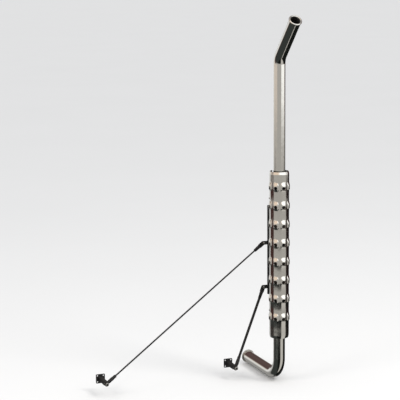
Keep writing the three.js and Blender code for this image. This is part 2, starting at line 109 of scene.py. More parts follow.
class Nodes:
    """Short ways to make and link shader nodes. A value is a number, a colour or a node's output."""

    def __init__(self, tree):
        self.tree = tree

    def node(self, kind, inputs=None, **settings):
        made = self.tree.nodes.new(kind)
        for name, value in settings.items():
            setattr(made, name, value)
        for name, value in (inputs or {}).items():
            self.put(made.inputs[name], value)
        return made

    def put(self, socket, value):
        if isinstance(value, bpy.types.NodeSocket):
            self.tree.links.new(value, socket)
        elif hasattr(value, "__len__") and len(value) == 3 and socket.type == "RGBA":
            socket.default_value = (*value, 1)
        else:
            socket.default_value = value

    def math(self, operation, a, b=0.0):
        return self.node("ShaderNodeMath", {0: a, 1: b}, operation=operation).outputs[0]

    def smooth(self, value, low, high, out_low=0.0, out_high=1.0):
        inputs = {"Value": value, "From Min": low, "From Max": high, "To Min": out_low, "To Max": out_high}
        return self.node("ShaderNodeMapRange", inputs, interpolation_type="SMOOTHSTEP").outputs[0]

    def within(self, value, low, high, soft):
        rise = self.smooth(value, low - soft, low + soft)
        fall = self.smooth(value, high - soft, high + soft, 1.0, 0.0)
        return self.math("MULTIPLY", rise, fall)

    def mix(self, factor, a, b):
        return self.node("ShaderNodeMix", {0: factor, 6: a, 7: b}, data_type="RGBA").outputs[2]

    def place(self, stretch=(1, 1, 1)):
        coordinates = self.node("ShaderNodeTexCoord").outputs["Object"]
        return self.node("ShaderNodeMapping", {"Vector": coordinates, "Scale": stretch}).outputs[0]

    def noise(self, scale, detail=3.0, roughness=0.5, stretch=(1, 1, 1)):
        inputs = {"Vector": self.place(stretch), "Scale": scale, "Detail": detail, "Roughness": roughness}
        return self.node("ShaderNodeTexNoise", inputs).outputs[0]

    def bump(self, height, distance, strength=1.0, under=None):
        inputs = {"Height": height, "Distance": distance, "Strength": strength}
        if under is not None:
            inputs["Normal"] = under
        return self.node("ShaderNodeBump", inputs).outputs[0]

    def attribute(self, name):
        return self.node("ShaderNodeAttribute", attribute_name=name).outputs["Fac"]


def material(name):
    made = bpy.data.materials.new(name)
    made.use_nodes = True
    nodes = Nodes(made.node_tree)
    return made, nodes, made.node_tree.nodes["Principled BSDF"].inputs


def chrome():
    """Polished plate with a slight haze, fine scratches, water spots, pipe bores sooted where gas passes, and
    painted shade: the heat shield's inner face painted near-black.
    """
    made, nodes, surface = material("chrome")
    haze = nodes.noise(9.0, 4.0)
    smudge = nodes.smooth(nodes.noise(38.0, 5.0, 0.65), 0.50, 0.75)
    scratch = nodes.smooth(nodes.noise(900.0, 2.0, 0.6, (1, 1, 0.02)), 0.56, 0.80)
    spots = nodes.smooth(nodes.noise(420.0, 1.0), 0.70, 0.78)
    tint = nodes.mix(haze, (0.80, 0.785, 0.75), (0.72, 0.71, 0.685))
    dulled = nodes.mix(nodes.math("MULTIPLY", spots, 0.25), tint, (0.55, 0.52, 0.47))
    # this mark darkens the sooted pipe bores and also paints shade on the heat shield's inner face
    soot_and_shade = nodes.attribute("soot_and_shade")
    patchy = nodes.math("MULTIPLY", soot_and_shade, nodes.smooth(haze, 0.1, 0.5, 0.9, 1.0))
    nodes.put(surface["Base Color"], nodes.mix(patchy, dulled, (0.012, 0.011, 0.010)))
    shine = nodes.math("MULTIPLY_ADD", smudge, 0.06)
    shine.node.inputs[2].default_value = 0.085
    worn = nodes.math("ADD", shine, nodes.math("MULTIPLY", scratch, 0.05))
    nodes.put(surface["Roughness"], nodes.math("MAXIMUM", worn, nodes.math("MULTIPLY", soot_and_shade, 0.85)))
    nodes.put(surface["Metallic"], nodes.smooth(soot_and_shade, 0.3, 0.9, 1.0, 0.0))
    ripple = nodes.bump(nodes.noise(26.0, 2.0, 0.4, (1, 1, 0.6)), 0.0009, 0.35)
    nodes.put(surface["Normal"], nodes.bump(scratch, 0.00002, 0.4, ripple))
    return made


def heat_tinted_steel():
    """Muffler steel after years of heat: dark, blotched blue and straw, with dull rust freckles."""
    made, nodes, surface = material("heat_tinted_steel")
    broad = nodes.noise(7.0, 4.0, 0.6, (1, 1, 0.5))
    fine = nodes.noise(120.0, 5.0, 0.7)
    tint = nodes.mix(nodes.smooth(broad, 0.35, 0.65), (0.085, 0.070, 0.058), (0.050, 0.052, 0.060))
    rust = nodes.smooth(nodes.noise(55.0, 6.0, 0.7), 0.58, 0.70)
    nodes.put(surface["Base Color"], nodes.mix(rust, tint, (0.075, 0.030, 0.014)))
    nodes.put(surface["Metallic"], nodes.smooth(rust, 0.0, 1.0, 0.85, 0.1))
    nodes.put(surface["Roughness"], nodes.smooth(fine, 0.2, 0.8, 0.42, 0.78))
    nodes.put(surface["Normal"], nodes.bump(fine, 0.0002, 0.5))
    return made


def stainless_strap():
    """Brushed stainless steel with grain along the strap and darker blotches from heat."""
    made, nodes, surface = material("brushed_strap_steel")
    grain = nodes.noise(700.0, 3.0, 0.6, (0.05, 0.05, 1))
    blotch = nodes.noise(30.0, 4.0)
    nodes.put(surface["Base Color"], nodes.mix(blotch, (0.40, 0.375, 0.34), (0.24, 0.22, 0.20)))
    surface["Metallic"].default_value = 1.0
    nodes.put(surface["Roughness"], nodes.smooth(grain, 0.2, 0.8, 0.26, 0.48))
    nodes.put(surface["Normal"], nodes.bump(grain, 0.00004, 0.5))
    return made


def zinc_plate():
    """Dull electroplated zinc with a faint warm passivation and white bloom."""
    made, nodes, surface = material("zinc_plate")
    patch = nodes.noise(160.0, 3.0)
    bloom = nodes.smooth(nodes.noise(520.0, 4.0, 0.7), 0.55, 0.72)
    tint = nodes.mix(patch, (0.52, 0.51, 0.47), (0.42, 0.42, 0.41))
    nodes.put(surface["Base Color"], nodes.mix(bloom, tint, (0.56, 0.56, 0.54)))
    nodes.put(surface["Metallic"], nodes.smooth(bloom, 0.0, 1.0, 0.95, 0.5))
    nodes.put(surface["Roughness"], nodes.smooth(patch, 0.3, 0.7, 0.28, 0.46))
    nodes.put(surface["Normal"], nodes.bump(nodes.noise(900.0, 2.0), 0.00005, 0.4))
    return made


def black_paint():
    """Satin black powder coat: orange peel, dust on what faces up, and paint worn thin in small chips."""
    made, nodes, surface = material("black_powder_coat")
    peel = nodes.noise(420.0, 2.0, 0.4)
    facing = nodes.node("ShaderNodeNewGeometry").outputs["Normal"]
    upward = nodes.node("ShaderNodeSeparateXYZ", {0: facing}).outputs[2]
    dust = nodes.smooth(nodes.noise(60.0, 5.0), 0.3, 0.7)
    dusty = nodes.math("MULTIPLY", nodes.smooth(upward, 0.25, 1.0), dust)
    chips = nodes.smooth(nodes.noise(240.0, 4.0, 0.8), 0.74, 0.78)
    coat = nodes.mix(nodes.math("MULTIPLY", dusty, 0.35), (0.0085, 0.0085, 0.009), (0.05, 0.045, 0.038))
    nodes.put(surface["Base Color"], nodes.mix(chips, coat, (0.06, 0.05, 0.045)))
    nodes.put(surface["Roughness"], nodes.smooth(dusty, 0.0, 1.0, 0.42, 0.75))
    surface["Specular IOR Level"].default_value = 0.35
    nodes.put(surface["Normal"], nodes.bump(peel, 0.0001, 0.5))
    return made


def black_rubber():
    """Matt rubber with a fine grain and a grey bloom."""
    made, nodes, surface = material("black_rubber")
    bloom = nodes.noise(80.0, 5.0, 0.6)
    tint = nodes.mix(nodes.smooth(bloom, 0.4, 0.8), (0.011, 0.011, 0.011), (0.03, 0.029, 0.028))
    nodes.put(surface["Base Color"], tint)
    nodes.put(surface["Roughness"], nodes.smooth(bloom, 0.2, 0.8, 0.72, 0.92))
    nodes.put(surface["Normal"], nodes.bump(nodes.noise(1500.0, 2.0), 0.00008, 0.5))
    return made


def mineral_wool():
    """Yellow-brown fibre matting."""
    made, nodes, surface = material("mineral_wool")
    fibre = nodes.noise(520.0, 6.0, 0.8, (1, 1, 0.15))
    nodes.put(surface["Base Color"], nodes.mix(fibre, (0.26, 0.20, 0.09), (0.50, 0.42, 0.24)))
    surface["Roughness"].default_value = 1.0
    surface["Sheen Weight"].default_value = 0.3
    nodes.put(surface["Normal"], nodes.bump(fibre, 0.002, 0.9))
    return made


FINISHES = {
    "chrome": chrome(),
    "bare_steel": heat_tinted_steel(),
    "zinc_plate": zinc_plate(),
    "black_paint": black_paint(),
    "black_rubber": black_rubber(),
    "mineral_wool": mineral_wool(),
}
STRAP_STEEL = stainless_strap()


# ---------------------------------------------------------------- mesh helpers, all in metres

SMOOTH_ANGLE = 32                # sharper edges than this stay sharp in the shading


def mesh_object(name, points, faces, smooth_angle=SMOOTH_ANGLE):
    mesh = bpy.data.meshes.new(name)
    mesh.from_pydata([tuple(p) for p in points], [], faces)
    mesh.validate()
    made = bpy.data.objects.new(name, mesh)
    bpy.context.scene.collection.objects.link(made)
    face_outwards(mesh)
    shade(mesh, smooth_angle)
    return made


def face_outwards(mesh):
    work = bmesh.new()
    work.from_mesh(mesh)
    bmesh.ops.recalc_face_normals(work, faces=work.faces)
    work.to_mesh(mesh)
    work.free()


def shade(mesh, smooth_angle):
    mesh.polygons.foreach_set("use_smooth", [True] * len(mesh.polygons))
    mesh.set_sharp_from_angle(angle=math.radians(smooth_angle))


def mark_soot_and_shade(made, soot_and_shade_levels):
    """Stores how dark each point is made, from 0 to 1, for the chrome material to read: sooting in the pipes,
    painted shade on the heat shield's inner face.
    """
    marks = made.data.attributes.new("soot_and_shade", "FLOAT", "POINT")
    marks.data.foreach_set("value", [float(s) for s in soot_and_shade_levels])


def along(origin, direction):
    """A placement whose +Z runs along direction from origin."""
    ahead = Vector(direction).normalized()
    across = SIDE.copy() if abs(ahead.z) > 0.99 else UP.cross(ahead).normalized()
    other = ahead.cross(across)
    basis = Matrix((across, other, ahead)).transposed().to_4x4()
    return Matrix.Translation(origin) @ basis


def quads(rings, closed=True):
    """Faces between neighbouring rings of points, which close on themselves unless closed is false."""
    faces = []
    for inner, outer in zip(rings, rings[1:]):
        count = len(inner)
        for k in range(count if closed else count - 1):
            j = (k + 1) % count
            faces.append((inner[k], inner[j], outer[j], outer[k]))
    return faces


def numbered(count, size):
    """The point numbers of rings that follow each other, with size points each."""
    return [range(i * size, (i + 1) * size) for i in range(count)]


def circle(radius, sides):
    """Points round the origin."""
    angles = [2 * math.pi * k / sides for k in range(sides)]
    return [(radius * math.cos(angle), radius * math.sin(angle)) for angle in angles]


def rectangle(half_x, half_y, corner, steps=3):
    """A rectangle round the origin with rounded corners."""
    corners = [(-half_x, -half_y), (half_x, -half_y), (half_x, half_y), (-half_x, half_y)]
    return rounded(corners, corner, steps)


def rounded(outline, radius, steps=3):
    """A closed outline with its corners cut to short curves."""
    result = []
    count = len(outline)
    for i, corner in enumerate(outline):
        corner = Vector(corner)
        before = Vector(outline[i - 1]) - corner
        after = Vector(outline[(i + 1) % count]) - corner
        cut = min(radius, before.length * 0.45, after.length * 0.45)
        start = corner + before.normalized() * cut
        end = corner + after.normalized() * cut
        for k in range(steps + 1):
            t = k / steps
            result.append(tuple(start * (1 - t) ** 2 + corner * 2 * t * (1 - t) + end * t ** 2))
    return result


def lathe(name, profile, place=Matrix.Identity(4), sides=64, lobes=None, solid=False):
    """Turns an outline of (radius, height) points, in mm, round local Z.

    The outline is closed, or for a solid it starts and ends on the axis. lobes(radius, height, angle)
    gives the reach where the shape isn't round.
    """
    if solid:
        profile = [(max(radius, 0.02), height) for radius, height in profile]
    points = []
    for k in range(sides):
        angle = 2 * math.pi * k / sides
        for radius, height in profile:
            reach = lobes(radius, height, angle) if lobes and radius > 0.03 else radius
            spot = Vector((reach * math.cos(angle) * MM, reach * math.sin(angle) * MM, height * MM))
            points.append(place @ spot)
    rings = numbered(sides, len(profile))
    faces = quads(rings + rings[:1], not solid)
    if solid:
        faces += [[ring[0] for ring in rings], [ring[-1] for ring in rings]]
    return mesh_object(name, points, faces)


def turned_solid(name, profile, place=Matrix.Identity(4), sides=56, lobes=None):
    return lathe(name, profile, place, sides, lobes, solid=True)


def prism(name, outline, low, high, place=Matrix.Identity(4)):
    """Extrudes a closed outline of (x, y) points, in mm, along local Z."""
    count = len(outline)
    points = [place @ Vector((x * MM, y * MM, z * MM)) for z in (low, high) for x, y in outline]
    faces = [(i, (i + 1) % count, (i + 1) % count + count, i + count) for i in range(count)]
    faces += [list(range(count)), list(range(count, 2 * count))]
    return mesh_object(name, points, faces)


def slab(low, high, place=Matrix.Identity(4)):
    """A block between two corners, in mm, for cutting and joining."""
    outline = [(low[0], low[1]), (high[0], low[1]), (high[0], high[1]), (low[0], high[1])]
    return prism("cutter", outline, low[2], high[2], place)


def drill(radius, low, high, place=Matrix.Identity(4), sides=40):
    return prism("cutter", circle(radius, sides), low, high, place)


def combine(name, first, joins=(), cuts=(), bevel=0.6):
    """Joins and cuts closed meshes, and rounds the edges that are left."""
    made = first
    for others, operation in ((joins, "UNION"), (cuts, "DIFFERENCE")):
        for other in others:
            change = made.modifiers.new("change", "BOOLEAN")
            change.operation = operation
            change.solver = "EXACT"
            change.object = other
            bake(made)
            bpy.data.objects.remove(other)
    made.name = name
    made.data.name = name
    soften(made, bevel)
    shade(made.data, SMOOTH_ANGLE)
    return made


def bake(made):
    """Replaces an object's mesh with what its modifiers make of it."""
    bpy.context.view_layer.update()
    shown = made.evaluated_get(bpy.context.evaluated_depsgraph_get())
    mesh = bpy.data.meshes.new_from_object(shown)
    made.modifiers.clear()
    made.data = mesh


def soften(made, width):
    """Rounds an object's sharp edges by a bevel, in mm."""
    change = made.modifiers.new("rounding", "BEVEL")
    change.width = width * MM
    change.segments = 2
    change.limit_method = "ANGLE"
    change.angle_limit = math.radians(38)
    change.harden_normals = False
    bake(made)


def stand_for(made, *nodes, finish=None):
    """The piece takes the place of these CAD nodes: it rides on their body and has their finish."""
    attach(made, body_of[nodes[0]])
    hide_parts(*nodes)
    return dress(made, slot_of[nodes[0]], finish)


def add_to(made, body, slot, finish=None):
    """A detail that no CAD node has, such as a weld, rides on a body."""
    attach(made, body)
    return dress(made, slot, finish)


def dress(made, slot, finish=None):
    made.data.materials.clear()
    made.data.materials.append(finish or FINISHES[slot])
    return made


# ---------------------------------------------------------------- pipes

def bent_path(start, ahead, towards, first, radius, angle, second, steps=28):
    """Points and directions along a straight run, one bend and a second run, in metres."""
    stations = [(start, ahead)]
    bend_start = start + ahead * first
    for i in range(steps + 1):
        turn = angle * i / steps
        point = bend_start + ahead * radius * math.sin(turn) + towards * radius * (1 - math.cos(turn))
        stations.append((point, ahead * math.cos(turn) + towards * math.sin(turn)))
    point, direction = stations[-1]
    stations.append((point + direction * second, direction))
    return stations


def bent_pipe(name, stations, across, outer, inner):
    """A pipe along a flat path. across is the direction square to the path's plane. Its ends are eased."""
    cut = 0.4 * MM
    start, ahead = stations[0]
    end, out = stations[-1]
    rings = [(start, ahead, outer - cut), (start + ahead * cut, ahead, outer)]
    rings += [(point, direction, outer) for point, direction in stations[1:-1]]
    rings += [(end - out * cut, out, outer), (end, out, outer - cut)]
    rings += [(end, out, inner + cut), (end - out * cut, out, inner)]
    rings += [(point, direction, inner) for point, direction in reversed(stations[1:-1])]
    rings += [(start + ahead * cut, ahead, inner), (start, ahead, inner + cut)]
    points, soot_and_shade_levels = [], []
    for centre, direction, radius in rings:
        other = direction.cross(across)
        for k in range(ROUND):
            angle = 2 * math.pi * k / ROUND
            points.append(centre + across * radius * math.cos(angle) + other * radius * math.sin(angle))
            soot_and_shade_levels.append(radius < (outer + inner) / 2)
    order = numbered(len(rings), ROUND)
    made = mesh_object(name, points, quads(order + order[:1]))
    mark_soot_and_shade(made, soot_and_shade_levels)
    return made


def stack_pipes():
    """The upright pipe, the bent outlet tip and its rolled lip."""
    wall = PIPE_WALL * MM
    upright, tip, lip = Box("stack_pipe"), Box("outlet_tip"), Box("rolled_lip")
    radius = upright.size.x / 2
    foot = on_axis(upright.low.z)
    height = tip.low.z - upright.low.z
    stations = [(foot + UP * height * t, UP) for t in (0, 0.25, 0.5, 0.75, 1)]
    stand_for(bent_pipe("upright_pipe", stations, SIDE, radius, radius - wall), "stack_pipe")

    bend_radius, below, angle = 0.107, 0.010, math.radians(43)
    bead = 6.5 * MM
    out = Vector((0, -math.sin(angle), math.cos(angle)))
    start = on_axis(tip.low.z)
    path = bent_path(start, UP, -FORWARD, below, bend_radius, angle, 0)
    bend_end = path[-1][0]
    run = (lip.middle - bend_end).dot(out) - bead
    path = bent_path(start, UP, -FORWARD, below, bend_radius, angle, run)
    stand_for(bent_pipe("slanted_outlet_pipe", path, SIDE, radius, radius - wall), "outlet_tip")

    ring_radius = lip.half(X) - bead / MM - 0.3
    sides = 28
    profile = [(ring_radius + x, y) for x, y in circle(bead / MM, sides)]
    bead_ring = lathe("outlet_lip_bead", profile, along(lip.middle, out), ROUND)
    faces_bore = [0.38 < k / sides < 0.66 for k in range(sides)]
    mark_soot_and_shade(bead_ring, [0.85 if inside else 0.0 for _ in range(ROUND) for inside in faces_bore])
    stand_for(bead_ring, "rolled_lip")


def inlet_pipes():
    """The elbow under the muffler and the V-band flange on its forward end."""
    wall = PIPE_WALL * MM
    elbow, flange = Box("elbow_pipe"), Box("inlet_flange")
    radius = elbow.size.x / 2
    bend_radius = 0.150
    run_height = flange.middle.z
    start = on_axis(elbow.high.z)
    first = start.z - run_height - bend_radius
    second = flange.high.y - axis_y - bend_radius
    path = bent_path(start, -UP, FORWARD, first, bend_radius, math.pi / 2, second, 40)
    stand_for(bent_pipe("inlet_elbow_pipe", path, SIDE, radius, radius - wall), "elbow_pipe")

    outer, inner, thick = flange.half(X), radius / MM + 0.4, flange.length(Y)
    outline = [(inner, 0), (inner + 5, 0), (outer - 4.2, thick - 7.5), (outer - 0.4, thick - 6.2),
               (outer - 0.4, thick - 2.4), (outer - 3.4, thick), (inner, thick)]
    place = along(Vector((axis_x, flange.low.y, run_height)), FORWARD)
    stand_for(lathe("inlet_v_flange", rounded(outline, 0.6), place, ROUND), "inlet_flange")
    behind = place @ Matrix.Translation((0, 0, -0.4 * MM))
    weld = weld_ring("inlet_flange_weld", radius / MM + 0.7, 1.9, behind)
    add_to(weld, body_of["inlet_flange"], "bare_steel", STRAP_STEEL)


def weld_ring(name, radius, bead, place, sides=180):
    """A round weld bead with the ripple of its passes."""
    profile = [(radius + x, y) for x, y in circle(bead, 10)]

    def ripple(reach, _height, angle):
        wave = 0.5 + 0.5 * math.cos(angle * radius / 1.1)
        return radius + (reach - radius) * (1 - 0.22 * wave)

    return lathe(name, profile, place, sides, ripple)


def weld_line(name, route, bead, place=Matrix.Identity(4), closed=True):
    """A weld bead along a line of points, in mm, with the ripple of its passes."""
    corners = [Vector(p) for p in route]
    if closed:
        corners.append(corners[0])
    stations = []
    for a, b in zip(corners, corners[1:]):
        count = max(2, int((b - a).length / (bead * 0.45)))
        stations += [a.lerp(b, i / count) for i in range(count)]
    if not closed:
        stations.append(corners[-1])
    section, points = 8, []
    total = len(stations)
    for i, centre in enumerate(stations):
        after = stations[(i + 1) % total] if closed or i + 1 < total else centre
        before = stations[i - 1] if closed or i else centre
        ahead = (after - before).normalized()
        aside = ahead.orthogonal().normalized() if abs(ahead.z) > 0.99 else ahead.cross(UP).normalized()
        other = ahead.cross(aside)
        size = bead * (1 - 0.18 * (i % 4 == 0) - 0.08 * (i % 4 == 2))
        for k in range(section):
            angle = 2 * math.pi * k / section
            offset = aside * size * math.cos(angle) + other * size * math.sin(angle)
            points.append(place @ ((centre + offset) * MM))
    rings = numbered(total, section)
    if closed:
        faces = quads(rings + rings[:1])
    else:
        faces = quads(rings) + [list(rings[0]), list(rings[-1])]
    return mesh_object(name, points, faces, 60)


# ---------------------------------------------------------------- heat shield

COLUMNS, ROWS, ROW_PITCH = 8, 8, 143.6
ROW_LIFT = 16.0                  # how far above the shield's middle the rows of holes are centred
BUMP_HALF_WIDTH, BUMP_TOP, BUMP_BOTTOM, BUMP_RISE = 22.0, 43.0, -18.0, 8.4
HOLE_RADIUS = 12.0
CELL_SIDES, BUMP_RINGS, FLAT_RINGS = 48, 12, 5
SHEET = 1.5
BEVEL_HEIGHT, BEVEL_DEPTH = 19.0, 4.0
SWELL = 0.85                     # how far the sheet swells out at each row of bumps


class ShieldSkin:
    """The heat shield's outer surface over (arc degrees from +Y, height in mm from its lower end)."""

    def __init__(self):
        box = Box("heat_shield")
        self.low = box.low.z
        self.length = box.length(Z)
        self.radius = 74.0
        self.opening = 24.0
        self.first_row = self.length / 2 + ROW_LIFT - (ROWS - 1) / 2 * ROW_PITCH

    def bevel(self, height):
        """How far the end bevels pull the skin in at a height."""
        edge = min(height, self.length - height)
        if edge >= BEVEL_HEIGHT:
            return 0.0
        return BEVEL_DEPTH * (1 - edge / BEVEL_HEIGHT)

    def swell(self, height):
        """The sheet drawn out by each row: a long rise down to the row, and a short fall under it."""
        ridge, fall = -8.0, 67.0
        last_ridge = self.first_row + (ROWS - 1) * ROW_PITCH + ridge
        first_valley = self.first_row + ridge - fall
        height = min(last_ridge, max(first_valley, height))
        below = (self.first_row + ridge - height) % ROW_PITCH
        if below < fall:
            return SWELL * (0.5 - steep_start(below / fall))
        share = (below - fall) / (ROW_PITCH - fall)
        return SWELL * ((share + ease(share)) / 2 - 0.5)

    def place(self, degrees, height, rise, inside):
        reach = self.radius - self.bevel(height) + self.swell(height) + rise - (SHEET if inside else 0)
        angle = math.radians(degrees)
        aside = Vector((-math.sin(angle), math.cos(angle), 0)) * reach * MM
        return on_axis(0) + aside + UP * (self.low + height * MM)


def ease(share):
    """A smooth step from 0 to 1."""
    share = min(1.0, max(0.0, share))
    return share * share * (3 - 2 * share)


def steep_start(share):
    """From 0 to 1, steepest near the start."""
    onset = 0.18
    if share < onset:
        return share ** 2 / onset
    return 1 - (1 - share) ** 2 / (1 - onset)


def bump_edge(angle):
    """The outline of a bump, a rounded rectangle. angle 0 is sideways, and a quarter turn is up."""
    power = 4.0
    c, s = math.cos(angle), math.sin(angle)
    half_height = BUMP_TOP if s > 0 else -BUMP_BOTTOM
    reach = (abs(c / BUMP_HALF_WIDTH) ** power + abs(s / half_height) ** power) ** (-1 / power)
    return reach * c, reach * s


def bump_rise(x, y):
    """A pressed hood: a long slope from its top edge, steep sides, and a short slope under the hole."""
    ramps = [(BUMP_TOP - y) / 30, (BUMP_HALF_WIDTH - abs(x)) / 12, (y - BUMP_BOTTOM) / 5, 1.0]
    softness = 5
    lowest = sum(max(ramp, 0.001) ** -softness for ramp in ramps) ** (-1 / softness)
    ex, ey = bump_edge(math.atan2(y, x))
    from_edge = min(1.0, (1 - math.hypot(x, y) / math.hypot(ex, ey)) / 0.10)
    return BUMP_RISE * lowest * max(0.0, from_edge)


class Sheet:
    """The flat pattern of a curved sheet. Each point is made once, however many faces meet at it."""

    def __init__(self):
        self.points = []
        self.faces = []
        self.found = {}

    def spot(self, degrees, height, rise=0.0):
        key = (round(degrees % 360, 4), round(height, 3))
        if key not in self.found:
            self.found[key] = len(self.points)
            self.points.append((degrees, height, rise))
        return self.found[key]

    def add_rings(self, rings):
        self.faces += quads([[self.spot(*point) for point in ring] for ring in rings])


def cell_border(left, right, bottom, top, sides, start):
    """Points evenly spaced on each side of a rectangle, from start steps past its lower right corner."""
    quarter = sides // 4
    corners = [(right, bottom), (right, top), (left, top), (left, bottom)]
    points = []
    for k in range(sides):
        side, step = divmod((k + start) % sides, quarter)
        t = step / quarter
        (x0, y0), (x1, y1) = corners[side], corners[(side + 1) % 4]
        points.append((x0 + (x1 - x0) * t, y0 + (y1 - y0) * t))
    return points


def bump_rings(skin, middle, row_height, left, right, bottom, top):
    """Rings of (degrees, height, rise) from the hole's edge to the border of one cell of the shield."""
    scale = math.degrees(1 / skin.radius)
    angles = [2 * math.pi * k / CELL_SIDES for k in range(CELL_SIDES)]
    edge = [bump_edge(a) for a in angles]
    hole = circle(HOLE_RADIUS, CELL_SIDES)
    border = cell_border(left, right, bottom, top, CELL_SIDES, CELL_SIDES // 8)
    rings = []
    for ring in range(BUMP_RINGS + 1):
        t = (ring / BUMP_RINGS) ** 1.15
        turned_in = -0.9 if ring == 0 else 0.0
        row = []
        for (hx, hy), (ex, ey) in zip(hole, edge):
            x, y = hx + (ex - hx) * t, hy + (ey - hy) * t
            row.append((middle + x * scale, row_height + y, bump_rise(x, y) + turned_in))
        rings.append(row)
    for ring in range(1, FLAT_RINGS + 1):
        t = ring / FLAT_RINGS
        row = []
        for (ex, ey), (bx, by) in zip(edge, border):
            x, y = middle + ex * scale, row_height + ey
            row.append((x + (bx - x) * t, y + (by - y) * t, 0.0))
        rings.append(row)
    return rings


def heat_shield():
    skin, sheet = ShieldSkin(), Sheet()
    columns = [360 / COLUMNS * k for k in range(1, COLUMNS)]
    rows = [skin.first_row + ROW_PITCH * k for k in range(ROWS)]
    lines = [skin.opening] + [(a + b) / 2 for a, b in zip(columns, columns[1:])] + [360 - skin.opening]
    heights = [rows[0] - ROW_PITCH / 2] + [height + ROW_PITCH / 2 for height in rows]
    bevel = [0.0, 0.6, 6, 12]
    bevel += [BEVEL_HEIGHT + step for step in (-2, -0.5, 0.5, 2)]
    plain = (30, 45, 60)
    low_end = bevel + [height for height in plain if height < heights[0]] + [heights[0]]
    high_end = [skin.length - height for height in reversed(bevel + list(plain))]
    high_end = [heights[-1]] + [height for height in high_end if height > heights[-1]]

    for middle, left, right in zip(columns, lines, lines[1:]):
        for height, bottom, top in zip(rows, heights, heights[1:]):
            sheet.add_rings(bump_rings(skin, middle, height, left, right, bottom, top))
        steps = CELL_SIDES // 4
        across = [left + (right - left) * k / steps for k in range(steps + 1)]
        for levels in (low_end, high_end):
            rungs = [[sheet.spot(degrees, level) for level in levels] for degrees in across]
            sheet.faces += quads(rungs, closed=False)

    outside = [skin.place(*point, False) for point in sheet.points]
    inside = [skin.place(*point, True) for point in sheet.points]
    points, walls = thick_sheet(outside, inside, sheet.faces)
    made = mesh_object("punched_heat_shield", points, walls, 40)
    # the inner face is painted near-black as painted shade inside the shield, where no gas passes
    mark_soot_and_shade(made, [0.0] * len(outside) + [0.75] * len(inside))
    stand_for(made, "heat_shield")


def thick_sheet(outside, inside, faces):
    """Closes a sheet: its outer faces, the same faces inside, and walls along every free edge."""
    count = len(outside)
    used = {}
    for face in faces:
        for a, b in zip(face, face[1:] + face[:1]):
            used[(a, b)] = used.get((a, b), 0) + 1
    walls = [(b, a, a + count, b + count) for a, b in used if (b, a) not in used]
    back = [tuple(i + count for i in reversed(face)) for face in faces]
    return list(outside) + list(inside), list(faces) + back + walls


# ---------------------------------------------------------------- fasteners

FASTENER_SIDES = 48


def hex_reach(flat_reach, angle):
    """Distance from the middle to the side of a hexagon."""
    sector = math.pi / 3
    return flat_reach / math.cos((angle + sector / 2) % sector - sector / 2)


def hex_body(flat_reach, low, high, both_ends):
    """Profile and shaping of a hexagon whose corners are chamfered at its low end, or at both."""
    corner = flat_reach / math.cos(math.pi / 6)
    drop = (corner - flat_reach) * 0.55
    chamfer = corner - flat_reach * 0.96

    def shape(reach, height, angle):
        limit = corner
        if both_ends and height > high - drop:
            limit = corner - chamfer * (height - high + drop) / drop
        if height < low + drop:
            limit = corner - chamfer * (low + drop - height) / drop
        if reach < flat_reach * 0.9:
            return reach
        return min(limit, hex_reach(flat_reach, angle))

    levels = [low, low + drop * 0.5, low + drop, high - drop, high - drop * 0.66, high - drop * 0.33, high]
    return [(corner, level) for level in levels], shape


def threads(radius, low, high, pitch=1.25):
    """Profile points of a thread as rings, from low to high."""
    depth = pitch * 0.5
    count = max(1, int((high - low) / pitch))
    points = []
    for k in range(count):
        base = low + (high - low) * k / count
        points += [(radius - depth, base), (radius, base + (high - low) / count * 0.5)]
    return points


def bolt(name, head_face, direction, radius, head_height, length, flat_reach):
    """A hexagon bolt. head_face is under the head, and the shank runs along direction from it, in mm."""
    head, shape = hex_body(flat_reach, -head_height, 0, both_ends=False)
    start = length * 0.55
    profile = [(0, -head_height)] + head + [(radius, 0), (radius, start)]
    profile += threads(radius, start + 0.3, length - 1.2) + [(radius - 0.9, length), (0, length)]
    return turned_solid(name, profile, along(head_face, direction), FASTENER_SIDES, shape)


def nut(name, near_face, direction, radius, height, flat_reach):
    """A hexagon nut that starts at near_face and runs along direction, in mm."""
    body, shape = hex_body(flat_reach, 0, height, both_ends=True)
    bore = radius + 0.1
    profile = body + [(bore + 0.8, height), (bore, height - 0.8), (bore, 0.8), (bore + 0.8, 0)]
    return lathe(name, profile, along(near_face, direction), FASTENER_SIDES, shape)


def fastener(bolt_node, nut_node, direction, name):
    """A bolt and its nut in the places of two CAD nodes, along direction from head to nut."""
    shank, hexagon = Box(bolt_node), Box(nut_node)
    axis = max(range(3), key=lambda i: abs(direction[i]))
    sign = 1 if direction[axis] > 0 else -1
    corner = max(shank.half(i) for i in range(3) if i != axis)
    radius = corner / 2
    head_height = 1.3 * radius if axis == X else 5.0
    start = shank.middle.copy()
    start[axis] = (shank.low if sign > 0 else shank.high)[axis] + sign * head_height * MM
    length = shank.length(axis) - head_height
    flat = corner * math.cos(math.pi / 6) * 0.99
    stand_for(bolt(name + "_bolt", start, direction, radius, head_height, length, flat), bolt_node)
    near = hexagon.middle.copy()
    near[axis] = (hexagon.low if sign > 0 else hexagon.high)[axis]
    stand_for(nut(name + "_nut", near, direction, radius, hexagon.length(axis), flat), nut_node)


# ---------------------------------------------------------------- muffler

